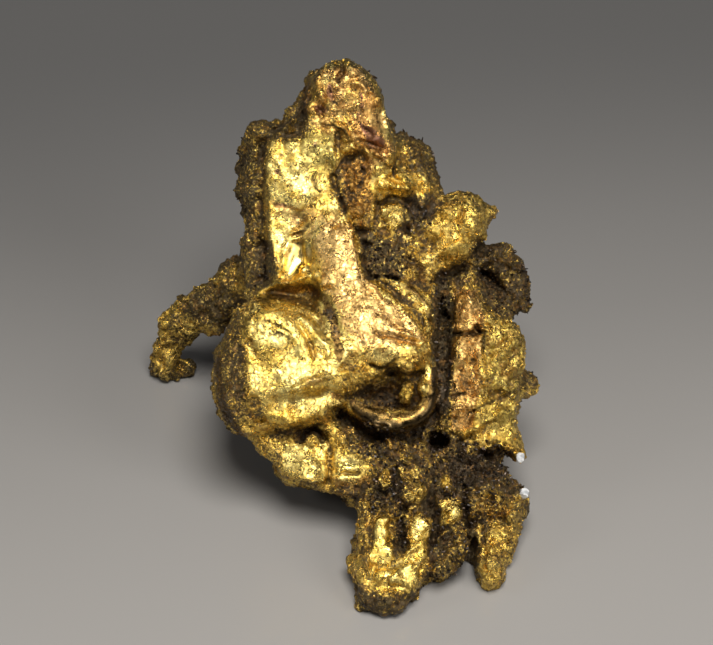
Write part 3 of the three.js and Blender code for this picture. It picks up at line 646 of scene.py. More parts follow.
moved = np.empty_like(cells)
fade_from = 0.6
fade_over = 5.0
depth_step = CELL * np.arange(block_size[2])
for row in range(block_size[0]):
    depth = rough_height[row][:, None] - (block_low[2] + depth_step)[None, :]
    hold = np.clip(1 - (depth - fade_from) / fade_over, 0, 1)
    hold = hold * hold * (3 - 2 * hold)
    lift = (height[row] - rough_height[row])[:, None] * hold / CELL
    source = np.clip(np.arange(block_size[2])[None, :] - lift, 0, block_size[2] - 1.001)
    lower = source.astype(int)
    share = (source - lower).astype(np.float32)
    below = np.take_along_axis(cells[row], lower, axis=1)
    above = np.take_along_axis(cells[row], lower + 1, axis=1)
    moved[row] = below + share * (above - below)
cells = moved

for at, radii, turn in [
    ((-12.3, 8.9, -2), (0.8, 0.6, 0.8), 20),
    ((-12.2, 14.9, -2.4), (0.7, 0.7, 1), 0),
    ((-12.2, 19.3, -1.6), (0.8, 0.9, 1.1), 0),
    ((-12.1, 16.7, -2), (0.6, 0.7, 0.8), 0),
    ((-12, 12.4, -2.2), (0.5, 0.8, 0.8), 0),
    ((-7.3, 22.7, 0.8), (0.8, 0.8, 1), 0),
    ((-5.2, 26.9, 2.4), (0.5, 0.9, 1), 0),
    ((-6.6, 23.3, 1.2), (0.9, 0.9, 1.2), 0),
    ((-5.8, 24.6, 1.8), (0.8, 1.1, 1.2), 0),
    ((-10.6, 21.6, -0.6), (1.5, 1.1, 1.6), 0),
    ((10.1, 13.6, 1.4), (0.6, 0.5, 1), 0),
    ((12, 14, 1), (0.9, 0.4, 1), 0),
    ((15, 12.2, 1.2), (0.5, 0.3, 0.5), 10),
    ((14.2, 9.6, 0.6), (0.4, 0.7, 0.8), 0),
    ((16.4, 8.1, -3.4), (0.8, 0.6, 1), 0),
    ((18.7, 1.8, -3), (0.5, 0.8, 0.8), 0),
    ((19.6, -6.9, 1.5), (0.6, 0.8, 0.8), 0),
    ((17.6, -13.8, 5), (0.9, 1.2, 1.2), 20),
    ((18.2, -14.8, 5), (0.5, 0.5, 0.6), 0),
    ((15.6, -14.8, 4.6), (0.7, 0.8, 0.9), 0),
    ((-0.4, -26.8, 12), (0.5, 0.7, 0.8), 0),
    ((0.6, -31.6, 13.6), (0.7, 0.7, 0.8), 0),
    ((6.4, -30.6, 12.8), (0.8, 0.7, 0.8), 20),
    ((18.7, -20.6, 7), (0.5, 0.8, 0.8), 0),
    ((9, -28.2, 11.4), (0.6, 0.4, 0.6), 0),
    ((-7, -17.6, 7), (0.6, 0.5, 0.8), 0),
    ((0, -19.8, 7.6), (0.6, 0.5, 0.8), 0),
]:
    set_knob(at, radii, turn)
# Notches that go right through the outline of the peak and the column.
for right, above, back, wide in [
    (2.5, 29, -8, 1.1), (-9.1, 23.3, -9, 1.2), (-13.6, 23.7, -9, 1.9), (-6.9, 28.4, -9, 1.9),
    (-13.6, 17.9, -9, 0.9), (3.7, 27.4, -8, 1.1),
]:
    cut([(right, above, back), (right, above, 8)], [wide, wide])
# The deep gaps between the tongue, the plate and the curl, and the curl's own rim and nodule.
cut([(9.5, 4.2, 3), (9.6, 1, 3.4), (9.3, -1, 3.8), (9.7, -4, 4.6), (9.3, -8.6, 6),
     (8.4, -11.4, 7)], [1.1, 1.4, 1.1, 0.9, 0.8, 0.7])
cut([(9.6, 3, 0.6), (9.5, -1, 1.6), (9.3, -9, 4)], [1.2, 0.9, 0.7])
cut([(-2, -9.4, 8), (0.2, -11.3, 7.4), (3.4, -12.8, 7.4), (6.4, -12.8, 7.4),
     (8.8, -11.2, 7)], [0.5, 0.8, 0.8, 0.8, 0.7])
roll([(0, -8.7), (0.9, -9.8), (2.4, -10.5), (4.1, -11), (5.5, -10.9), (6.8, -10.3), (7.7, -9.3),
      (8.1, -7.8), (8.1, -6.2), (7.8, -4.9)], [0.5, 0.8, 0.9, 0.95, 0.95, 0.9, 0.9, 0.85, 0.75, 0.5], 0.35)
roll([(5.5, -10.7), (6.8, -10.1), (7.6, -9.1), (8, -7.8), (8, -6.2),
      (7.7, -4.7)], [0.8, 0.9, 0.9, 0.9, 0.8, 0.7], 1.9)
score([(-6.3, -12.8), (-5.2, -12.4), (-4.2, -12.6)], [0.8, 1.2, 1], 0.3)
nodule = on_face([(-4.9, -12.9)], [0.7], 0.9)[0]
set_knob(tuple(nodule), (0.75, 0.6, 0.9), 20)
roll([(-12, 3.1), (-10.8, 3.3), (-9.4, 4.1), (-7.2, 4.4), (-5.4, 5.3)], [0.2, 0.26, 0.28, 0.26, 0.2], 0.1)
roll([(2.6, 5), (5, 4.2), (6.9, 2.8), (7.9, 1.2), (7.9, -0.8)], [0.3, 0.4, 0.45, 0.45, 0.3], 0.2)
cut([(8.8, -13, 9), (9.2, -13.4, 6), (8.8, -13.8, 3)], [1.3, 1.5, 1.1])
score([(0.1, 9.3), (0.9, 8.8), (1.7, 8.5)], [0.3, 0.5, 0.3], 1.2)
cut([(13, 6, 0), (15, 5, -1), (16.8, 3.4, -1)], [0.7, 0.9, 0.6])
score([(10.8, -15.4), (12.8, -16.6), (14.8, -16.6), (16.4, -16.2)], [1, 1.7, 1.4, 0.8], 0.1)
cut([(12.6, -22.6, 10.2), (12.7, -25, 11), (12.7, -28.4, 12.4)], [0.4, 0.6, 0.7])

# ---- The skin ------------------------------------------------------------------------------------------------
# The worked cells turned back into one closed skin. Torn, hackly metal stands up from it in small grains, and
# the smooth golden faces are only slightly uneven.
worked = openvdb.FloatGrid(BAND)
worked.copyFromArray(np.clip(cells, -BAND, BAND))
points, quads = worked.convertToQuads(0.0)
points = off_face(points.astype(float) * CELL + block_low)
points[:, 2] = np.maximum(points[:, 2], 0)


def mesh_of(points, faces, name):
    """A Blender mesh of the given points, in metres, and faces of one size."""
    mesh = bpy.data.meshes.new(name)
    mesh.vertices.add(len(points))
    mesh.vertices.foreach_set("co", points.astype(np.float32).ravel())
    sides = faces.shape[1]
    mesh.loops.add(faces.size)
    mesh.loops.foreach_set("vertex_index", faces.astype(np.int32).ravel())
    mesh.polygons.add(len(faces))
    mesh.polygons.foreach_set("loop_start", np.arange(0, faces.size, sides, dtype=np.int32))
    mesh.update(calc_edges=True)
    mesh.validate()
    return mesh


def largest_piece(points, faces):
    """Drops the crumbs that came away from the lump."""
    label = np.arange(len(points))
    while True:
        lowest = label[faces].min(axis=1)
        new = label.copy()
        for side in range(faces.shape[1]):
            np.minimum.at(new, faces[:, side], lowest)
        new = new[new]
        if (new == label).all():
            break
        label = new
    main = np.bincount(label).argmax()
    keep = label == main
    number = np.cumsum(keep) - 1
    return points[keep], number[faces[keep[faces[:, 0]]]]


points, quads = largest_piece(points, quads.astype(int))
# The faces are turned to look outwards if the skin came inside out.
a, b, c = points[quads[:, 0]], points[quads[:, 1]], points[quads[:, 2]]
if np.einsum("ij,ij->i", a, np.cross(b, c)).sum() < 0:
    quads = quads[:, ::-1]
skin_mesh = mesh_of(points, quads, "copper_skin")


def front_share(points, values, depth=4.0):
    """Values of a sheet over the face at points on the skin, fading to 0 behind the front."""
    face = onto_face(points)
    column = (face[:, :2] - block_low[:2]) / CELL
    column = np.clip(column, 0, np.array(block_size[:2]) - 1.001)
    corner = column.astype(int)
    share = column - corner
    total = np.zeros(len(points))
    deep = np.zeros(len(points))
    for i in (0, 1):
        for j in (0, 1):
            weight = np.abs(1 - i - share[:, 0]) * np.abs(1 - j - share[:, 1])
            total += weight * values[corner[:, 0] + i, corner[:, 1] + j]
            deep += weight * height[corner[:, 0] + i, corner[:, 1] + j]
    behind = np.clip((deep - face[:, 2] - 1) / depth, 0, 1)
    return total * (1 - behind * behind * (3 - 2 * behind)), behind


def give(mesh, name, values):
    """Stores one number at each point of a mesh."""
    layer = mesh.attributes.new(name, "FLOAT", "POINT")
    layer.data.foreach_set("value", np.asarray(values, np.float32))


def paint(marks):
    """A sheet over the face from marks, each a strength and a stroke, patch or outline; the last mark laid wins."""
    sheet = np.zeros(ACROSS.shape)
    for strength, mark in marks:
        sheet += mark * (strength - sheet)
    return sheet


# How smooth the front is: 1 on the faces that grew smooth, 0 where it is torn and hackly.
FOOT_RIDGE = [(6.4, -21.6), (8, -22), (7.8, -27), (5.4, -30), (1, -29), (1, -27.4), (4.4, -26.8), (5.8, -25)]
smooth_sheet = paint([
    (0.75, within([(-10, 20), (-6, 20), (-3, 22.5), (-1, 20), (-3, 15), (-1, 11), (0.4, 6), (6, 1),
                   (8, -3), (4, -4), (-1, -5), (-2, -9), (-6, -11), (-10, -10), (-12, -7), (-12.4, 0),
                   (-10, 4), (-10, 8)], 1.4)),
    (0.6, within([(-6, 29), (0, 30.4), (3, 27.4), (5.4, 19), (2, 17), (-2, 19), (-5, 22)])),
    (0.95, patch((-6.5, 7.2), (2.3, 3), -25, "flat")),
    (0.8, stroke([(-11, 3.2), (-8, 3.6), (-4, 3.2), (-2.2, 0), (-1.6, -4)], 1.4, "flat")),
    (0.9, patch((-8.4, -3), (4, 5), 10)),
    (1, stroke([(-2, -8.6), (0.6, -10.4), (4.4, -11.4), (7.4, -10.4), (8.6, -7), (8.4, -4.2)], 1.3, "flat")),
    (0.8, stroke([(4.6, 4.4), (7, 3), (8, 1), (8, -1)], 0.9, "flat")),
    (0.7, within([(-8.3, -13.6), (-4, -13), (1.8, -16), (1.6, -18), (-3, -18), (-8, -16.6)])),
    (0.95, within([(2.2, -21.6), (3.6, -21.6), (4.1, -26), (3.7, -27.1), (1.2, -27), (1.8, -24.2)], 0.3)),
    (0.3, within([(10.4, 4), (14, 3), (18.4, 0), (18.6, -8), (17.6, -13), (10.6, -13), (10.2, -4)])),
    (0.35, within([(1.6, 17), (8, 16), (9, 11), (14, 13), (13, 8), (8, 5), (6, 9), (1.6, 9)])),
    (0.85, stroke([(1.4, 15.6), (3.2, 15.5), (4.6, 15.2), (6.4, 14.8)], 1.2, "flat")),
    (0.8, stroke([(2.6, 24.4), (3.2, 22.4), (3.6, 20.6)], 1, "flat")),
    (0.6, patch((4, 11.4), (2, 1.4), 0, "flat")),
    (0.7, within(FOOT_RIDGE, 0.6)),
    (0.6, patch((10.4, -21), (1.2, 1.5), 0, "flat")),
])


def arm_share(points):
    """1 for points on the arm and 0 for the rest of the lump."""
    face = onto_face(points)
    return np.clip((-12.5 - face[:, 0]) / 2, 0, 1) * np.clip((-face[:, 2] - 2) / 3, 0, 1)


SMOOTHEST = 0.05  # how hackly even the smoothest face is
ROUGHER = 0.7  # how much more hackly the arm and the back are
smooth, behind = front_share(points, smooth_sheet, 3.0)
hackly = np.clip(1 - smooth, SMOOTHEST, 1) * (1 + ROUGHER * arm_share(points) + ROUGHER * behind)
give(skin_mesh, "hackly", hackly)


copper_finish = bpy.data.materials.new("native_copper")


def begin_tree(name, sizes):
    """A Geometry Nodes tree that takes a mesh and named sizes, and the node that gives them."""
    tree = bpy.data.node_groups.new(name, "GeometryNodeTree")
    tree.interface.new_socket("Geometry", in_out="INPUT", socket_type="NodeSocketGeometry")
    for label, value in sizes.items():
        kind = "NodeSocketInt" if isinstance(value, int) else "NodeSocketFloat"
        socket = tree.interface.new_socket(label, in_out="INPUT", socket_type=kind)
        socket.default_value = value
    tree.interface.new_socket("Geometry", in_out="OUTPUT", socket_type="NodeSocketGeometry")
    return tree, tree.nodes.new("NodeGroupInput")


def end_tree(tree, shape, finish):
    """Ends a tree in real geometry of one material."""
    real = tree.nodes.new("GeometryNodeRealizeInstances")
    dressed = tree.nodes.new("GeometryNodeSetMaterial")
    dressed.inputs["Material"].default_value = finish
    out = tree.nodes.new("NodeGroupOutput")
    tree.links.new(shape, real.inputs[0])
    tree.links.new(real.outputs[0], dressed.inputs["Geometry"])
    tree.links.new(dressed.outputs[0], out.inputs[0])
    return tree


def hackle_tree():
    """Raises small grains of metal on a skin by how hackly it is."""
    tree, given = begin_tree("raise_hackles", {
        "Waves per Metre": 330.0, "Wave Height": 0.0015, "Crests per Metre": 760.0, "Crest Height": 0.00075,
        "Grains per Metre": 2100.0, "Grain Height": 0.0006,
    })
    nodes, link = tree.nodes, tree.links.new
    position = nodes.new("GeometryNodeInputPosition")
    normal = nodes.new("GeometryNodeInputNormal")
    hackly = nodes.new("GeometryNodeInputNamedAttribute")
    hackly.data_type = "FLOAT"
    hackly.inputs["Name"].default_value = "hackly"

    def maths(kind, *values):
        node = nodes.new("ShaderNodeMath")
        node.operation = kind
        for slot, value in enumerate(values):
            if isinstance(value, (int, float)):
                node.inputs[slot].default_value = value
            else:
                link(value, node.inputs[slot])
        return node.outputs[0]

    def waves(scale, tall, folded=False):
        wave = nodes.new("ShaderNodeTexNoise")
        wave.inputs["Detail"].default_value = 2
        link(position.outputs[0], wave.inputs["Vector"])
        link(given.outputs[scale], wave.inputs["Scale"])
        level = maths("SUBTRACT", wave.outputs[0], 0.5)
        if folded:
            level = maths("SUBTRACT", 0.09, maths("ABSOLUTE", level))
        return maths("MULTIPLY", level, given.outputs[tall])

    rolling = waves("Waves per Metre", "Wave Height")
    crests = waves("Crests per Metre", "Crest Height", True)
    grains = waves("Grains per Metre", "Grain Height")
    raised = maths("MULTIPLY", maths("ADD", rolling, maths("ADD", crests, grains)), hackly.outputs[0])
    lift = nodes.new("ShaderNodeVectorMath")
    lift.operation = "SCALE"
    link(normal.outputs[0], lift.inputs[0])
    link(raised, lift.inputs["Scale"])
    shift = nodes.new("GeometryNodeSetPosition")
    link(given.outputs["Geometry"], shift.inputs["Geometry"])
    link(lift.outputs[0], shift.inputs["Offset"])
    return end_tree(tree, shift.outputs[0], copper_finish)


def grown(mesh, tree, name, sizes=()):
    """The mesh that a Geometry Nodes tree grows from another mesh, as a new object."""
    holder = bpy.data.objects.new(name, mesh)
    bpy.context.scene.collection.objects.link(holder)
    modifier = holder.modifiers.new("grow", "NODES")
    modifier.node_group = tree
    names = {item.name: item.identifier for item in tree.interface.items_tree if item.in_out == "INPUT"}
    for size, value in dict(sizes).items():
        modifier[names[size]] = value
    bpy.context.view_layer.update()
    evaluated = holder.evaluated_get(bpy.context.evaluated_depsgraph_get())
    result = bpy.data.meshes.new_from_object(evaluated)
    holder.modifiers.clear()
    holder.data = result
    return holder


# The skin is thinned to a sensible number of facets, and the face keeps more of them than the back.
SKIN_FACETS = 196000
FACE_CARE = 0.00002  # how much dearer an edge of the face is to lose than one behind
STEPS = 4
copper = grown(skin_mesh, hackle_tree(), "copper_skin")
face_group = copper.vertex_groups.new(name="face")
for step in range(STEPS + 1):
    chosen = np.nonzero(np.round(behind * STEPS).astype(int) == step)[0]
    face_group.add(chosen.tolist(), 0.9 - 0.9 * step / STEPS, "REPLACE")
thin = copper.modifiers.new("thin", "DECIMATE")
thin.ratio = min(1, SKIN_FACETS / (2 * len(quads)))
thin.vertex_group = "face"
thin.invert_vertex_group = True
thin.vertex_group_factor = FACE_CARE
bpy.context.view_layer.update()
evaluated = copper.evaluated_get(bpy.context.evaluated_depsgraph_get())
copper_mesh = bpy.data.meshes.new_from_object(evaluated)
copper.modifiers.clear()
copper.vertex_groups.clear()
copper.data = copper_mesh
copper_mesh.attributes.remove(copper_mesh.attributes["hackly"])
skin_points = np.empty(len(copper_mesh.vertices) * 3, np.float32)
copper_mesh.vertices.foreach_get("co", skin_points)
skin_points = skin_points.reshape(-1, 3).astype(float)
skin_points[:, 2] = np.maximum(skin_points[:, 2], 0)
copper_mesh.vertices.foreach_set("co", skin_points.astype(np.float32).ravel())
copper_mesh.polygons.foreach_set("use_smooth", np.ones(len(copper_mesh.polygons), bool))

# ---- The finish ------------------------------------------------------------------------------------------------
# Bare native copper with a golden skin on the raised faces, coppery where it is fresh, olive in the smooth hollows,
# with purple and red-brown oxide spots, and a dark earthy crust in every gap. Painted shade darkens the hollows,
# creases, gaps and the faces turned from the light, and painted highlights keep the lit knobs and facets bright.
coppery_sheet = paint([
    (0.5, within([(-10, 14), (-4, 13), (-4, 6), (-8, 4)], 2)),
    (0.8, within([(-4, 12), (-0.6, 11), (0.6, 6), (3, 3.6), (6.4, 0.4), (8, -2), (4, -3), (0, -3),
                  (-1.6, 0), (-4, 4), (-4.4, 8)], 1.2)),
    (0.75, within([(10.6, 3.6), (13.6, 4), (14.2, 0), (14, -6), (13, -12), (10.4, -12), (10.2, -4)], 1)),
    (0.6, within([(-4, 28), (0.5, 29), (2.4, 26), (4.6, 19), (1, 16), (-0.4, 20), (-3, 23)], 1)),
    (0.55, patch((-4.6, -6.4), (2.6, 1.2), 20)),
    (0.5, patch((-8.4, 17.6), (1.8, 2.2))),
    (0.5, patch((-2, 12), (2, 1.2))),
])
olive_sheet = paint([
    (0.75, within([(14.2, 0), (18.6, -1), (18.6, -9), (17, -13), (14, -12)], 1.5)),
    (0.4, within([(0.4, -20.6), (6.4, -20.6), (7, -29), (1, -31)], 1.5)),
    (1, patch((-4.2, 19), (2.6, 3.4), 0, "flat")),
    (0.9, stroke([(-11, 3), (-8, 3.4), (-4.4, 3.2), (-2.4, 0.6), (-1.8, -4)], 1.4)),
    (0.7, patch((6.4, 18), (1.8, 2.6), 10)),
    (0.6, stroke([(-11.6, 20), (-11.6, 12)], 1.2)),
    (0.6, patch((3.5, -6.4), (1.6, 2.4))),
    (0.6, patch((3, -31), (3.4, 1.2))),
    (0.5, patch((9, -22), (1.2, 3))),
])
purple_sheet = paint([
    (0.9, patch((-8.9, 16.7), (0.9, 0.6))),
    (0.7, patch((-8.4, 18.4), (0.6, 0.6))),
    (0.9, patch((-4.6, 19.7), (0.9, 0.5), 10)),
    (0.8, patch((-5.2, 16.7), (0.8, 0.4))),
    (0.8, patch((-2.3, 5.6), (1, 0.35))),
    (0.9, patch((3.4, -0.3), (1, 0.4), -10)),
    (0.7, patch((4.6, -1), (0.7, 0.4), -20)),
    (0.7, patch((1.4, 17), (0.5, 0.7))),
    (1, within([(0, 22.6), (1.8, 21.4), (3.2, 20.4), (3.3, 19.2), (1.4, 19.2), (0.8, 20.6)], 0.6)),
    (0.9, patch((-3.9, 23.8), (1, 0.5), -20, "flat")),
    (0.9, patch((-2.8, 25.4), (0.4, 1.2), 10, "flat")),
    (0.8, stroke([(0, 22.6), (0.6, 24.4), (0.2, 26)], 0.5)),
    (0.8, patch((0.7, 17.4), (0.5, 0.9), 30)),
    (0.6, stroke([(-9.8, 13.6), (-8.4, 13.2), (-6.8, 12.8)], 0.5)),
    (0.6, patch((-11.6, -3.6), (0.6, 0.9))),
    (0.6, patch((7, -8), (0.5, 1.2))),
    (0.5, patch((16, -1), (0.8, 0.6))),
])
# Red-brown rust; down the peak's left flank, which faces away from the light, it is also painted shade.
rust_and_shade_sheet = paint([
    (0.54, within(PEAK, 1.5)),
    # Painted shade on the peak's left flank, with rust.
    (0.75, within([(-5.6, 27.2), (-3.8, 27.8), (-4, 24.4), (-5.8, 22.8), (-6.8, 23.4)], 0.8)),
    (0.46, within([(10.6, 4), (14, 3), (14.2, -4), (13.8, -12.6), (10.4, -12.6), (10.2, -4)], 1.2)),
    (0.45, within([(14, 0), (18.6, -0.6), (18.6, -8), (17.6, -14), (14, -12.8)], 1)),
    (0.5, within([(-1.4, -2), (4, -1.4), (7.6, -1.6), (8, -4.4), (4, -4.6), (-1.6, -5.4), (-3, -7.4)], 1.4)),
    (0.55, within([(10.8, 4.4), (15.4, 1.6), (14, 0), (11, 0)], 1)),
    (0.45, within(FEET, 1)),
    (0.5, within(BED, 1)),
    (0.4, stroke([(2, 14), (6, 12), (8, 9)], 2.4)),
    (0.9, patch((-3.9, 23.8), (1.1, 0.6), -20, "flat")),
    (0.8, patch((-2.8, 25.6), (0.6, 1.4), 10, "flat")),
    (0.9, stroke([(-0.6, 22.4), (0.8, 21.4), (2, 20.6), (3, 20.4)], 0.9, "flat")),
    (0.9, stroke([(0.6, 20), (2.2, 19.4), (3.6, 19.2)], 0.6, "flat")),
    (0.6, patch((1.8, 24), (1.4, 2), 0, "flat")),
    # Painted shade down the peak's left edge, with rust.
    (0.6, stroke([(-5, 27.4), (-4.6, 25.4), (-5.4, 24)], 0.6, "flat")),
    (0.8, patch((4, 2), (1.5, 0.6), -35)),
    (0.7, patch((5.2, 1.4), (0.8, 0.5), -30)),
    (1, within([(-2, 18), (1, 18.4), (1.8, 15), (1.6, 12), (-0.6, 12), (-1.2, 13)], 1)),
    (0.6, within([(-0.6, 12), (1.6, 12), (1.8, 9.4), (0, 9.6)], 1)),
    (0.7, patch((5.2, 15.3), (1, 0.6))),
    (0.8, patch((7.4, 4.6), (1, 2), 20)),
    (0.7, patch((12.6, 2.6), (1.4, 1.6))),
    (0.8, stroke([(-8, 3.6), (-5.4, 3.8), (-4, 3)], 0.8)),
    (0.8, patch((-5.6, -2.6), (0.8, 0.9))),
    (0.7, stroke([(-3, -8), (-1, -8.4), (-0.4, -7.8)], 0.7)),
    (0.6, within([(-3, -17), (2, -17), (0.6, -20), (-2, -19.4)], 0.6)),
    (0.8, stroke([(-9.6, 13.2), (-8, 12.9), (-5, 12.2)], 0.5)),
    (0.6, stroke([(-15, -7), (-14, -10), (-12, -13)], 0.8)),
])
# Dark bronze tarnish; on the curl's rim and in its pocket, in the groove under the lip, in the trough beside the
# boss and along the boss's left edge, where the faces turn from the light, it is also painted shade.
bronze_and_shade_sheet = paint([
    (1, stroke([(-0.4, -9), (0.8, -10.2), (2.6, -11), (4.6, -11.6), (6.6, -11.2), (8.2, -9.8), (8.8, -8),
                (8.8, -5.6)], 1.7, "flat")),
    (0.62, within([(0.6, -7.2), (4, -6.4), (7, -6.8), (8, -8), (6.4, -10), (3, -10.2), (0.8, -8.8)], 0.8)),
    (0.55, stroke([(-11, 2.6), (-8.5, 3.1), (-6, 3.5), (-4, 3.1), (-2.8, 1.6)], 1.3)),
    (0.85, stroke([(-3.6, 2), (-2.5, 0.2), (-2.1, -2), (-1.8, -4.4)], 1.1)),
    (0.7, stroke([(-15.3, -3), (-15.4, -7), (-14.2, -10.4), (-12.4, -12.8)], 0.9)),
    (0.6, stroke([(5, 4.4), (7, 3.2), (8, 1.5), (8, -0.6)], 0.6)),
    (0.5, within([(5, 14), (8.6, 14.6), (8.8, 11), (6.4, 9), (4.6, 10)], 0.8)),
    (0.5, within([(5, 20), (7.4, 20), (8.8, 15), (6.4, 16.4)], 0.8)),
    (0.45, within([(12.8, 8.6), (17, 8.8), (19.6, 6), (19, 0.4), (16.4, 0), (14.2, 2.6)], 0.8)),
    (0.5, within([(5.4, 8.6), (7.8, 6.4), (8.2, 4), (6, 4.2), (5, 6)], 0.8)),
])
# Painted highlight: the lit crest and knobs of the curl are kept out of the dark rim colour, so they stay bright
# gold.
lit_crest_sheet = paint([
    (0.4, stroke([(2.6, -9.7), (4.2, -10.1), (6, -9.8), (7, -9), (7.5, -8.2)], 0.2, "flat")),
    (1, patch((5.6, -7.8), (0.9, 1.3), -20, "flat")),
    (0.9, patch((7.4, -7.2), (0.5, 1), 0, "flat")),
    (0.8, stroke([(7.8, -7.6), (7.8, -5.4)], 0.35, "flat")),
])
bronze_and_shade_sheet = bronze_and_shade_sheet * (1 - lit_crest_sheet)
# Painted shade in the grooves, gaps and holes where sheets of metal overlap, cracked, or folded, and on the curl's
# outer rim, which turns down away from the light; along the fine cracks it is also the dark dirt they hold.
crease_shade_sheet = paint([
    (0.85, within([(10.4, -14.6), (13, -14.8), (16.2, -15.4), (15.4, -17.6), (13.4, -18.4),
                   (11, -18.2)], 0.8)),
    (0.34, stroke([(9.4, 5.4), (9.5, 1), (9.4, -2), (9.7, -5), (9.3, -9), (8.6, -11.4)], 1.1, "flat")),
    (0.7, patch((8.9, -13.4), (1.3, 1.1), 0, "flat")),
    (0.55, stroke([(-0.2, -9.6), (0.8, -10.5), (2.6, -11.4), (4.6, -11.9), (6.6, -11.4), (8.4, -10),
                   (9, -8), (8.8, -5.6)], 0.95, "flat")),
    *((dark, stroke(line, wide, "crisp")) for dark, wide, line in [
        (0.9, 0.22, [(-12.8, -0.6), (-11, -0.7), (-9.5, -1.2), (-8, -2.3)]),
        (0.9, 0.2, [(-12.4, 0), (-10.6, -0.3), (-9, -0.9), (-7.6, -1.9)]),
        (0.9, 0.2, [(-12, 0.7), (-10.2, 0.4), (-8.6, -0.3), (-7.3, -1.3)]),
        (0.8, 0.2, [(-11.4, 1.4), (-9.8, 1), (-8.3, 0.2), (-7.1, -0.7)]),
        (0.8, 0.2, [(-12.2, -1.3), (-10.6, -1.5), (-9.2, -2.1)]),
        (0.4, 0.2, [(-6.4, 20.4), (-6.4, 18), (-6.1, 16), (-6.6, 14.6)]),
        (0.6, 0.22, [(-9.9, 13.4), (-8, 12.9), (-6.4, 12.2), (-4.6, 12.7)]),
        (0.4, 0.2, [(-9.6, 16.8), (-8.2, 16.2), (-6.8, 16.6)]),
        (0.8, 0.2, [(-4.8, 16.4), (-4.4, 14.8), (-3.4, 14)]),
        (1, 0.3, [(-7.2, 9.7), (-6, 10.3), (-5.1, 11)]),
        (0.5, 0.2, [(-5.1, 10.1), (-4.7, 8.6), (-4.4, 7.4)]),
        (0.9, 0.25, [(-4.2, 21.9), (-3.2, 22), (-1.8, 21.6), (-0.6, 20.2)]),
        (1, 0.35, [(-1.8, 29), (-1.6, 28), (-2.1, 26.4)]),
        (0.9, 0.3, [(4.5, 18.4), (4.1, 17.2), (4.3, 15.6)]),
        (0.9, 0.35, [(-1.9, 14.4), (-1.5, 13), (-1.1, 11.6)]),
        (0.9, 0.35, [(1.4, -4.4), (2.4, -4.9), (3.4, -4.6), (4.6, -3.8)]),
        (0.8, 0.2, [(1.6, -1.5), (4, -1.6), (6, -2.3)]),
        (0.9, 0.35, [(10.3, -1.3), (12, -1.4), (13.6, -1.1)]),
        (0.9, 0.35, [(14.3, -0.8), (14.2, -3.2)]),
        (0.9, 0.35, [(10.3, -8.4), (12.2, -7.6)]),
        (0.8, 0.3, [(18, -7.4), (15, -8.8), (12.6, -10.2)]),
        (0.6, 0.25, [(-3.5, -12), (-3, -14.2), (-3.2, -16), (-2.9, -18.2)]),
        (0.35, 0.22, [(-2.6, -17), (-0.4, -16.8), (1.8, -16.8)]),
        (0.9, 0.4, [(-7, -12.4), (-5.4, -11.7), (-3.6, -11.4)]),
    ]),
    (0.8, patch((-5.2, -12.4), (1.6, 1.2), 0, "flat")),
    (0, patch((-4.9, -12.9), (0.8, 0.65), 20, "flat")),
])
DARK_LUMPS = [(12.8, 8.6), (17, 8.8), (19.6, 6), (19, 0.4), (16.4, 0), (14.2, 2.6), (13, 5)]
UNDER_PLATE = [(10.4, -14), (17, -14.6), (15.8, -18), (11, -19)]
BLOCK_TOP = [(0.4, 8.6), (3.6, 9), (5.4, 8), (5.2, 5.2), (1, 5.2)]
STUB = [(7.6, -19), (12.4, -20), (12.4, -28), (8, -28.4)]
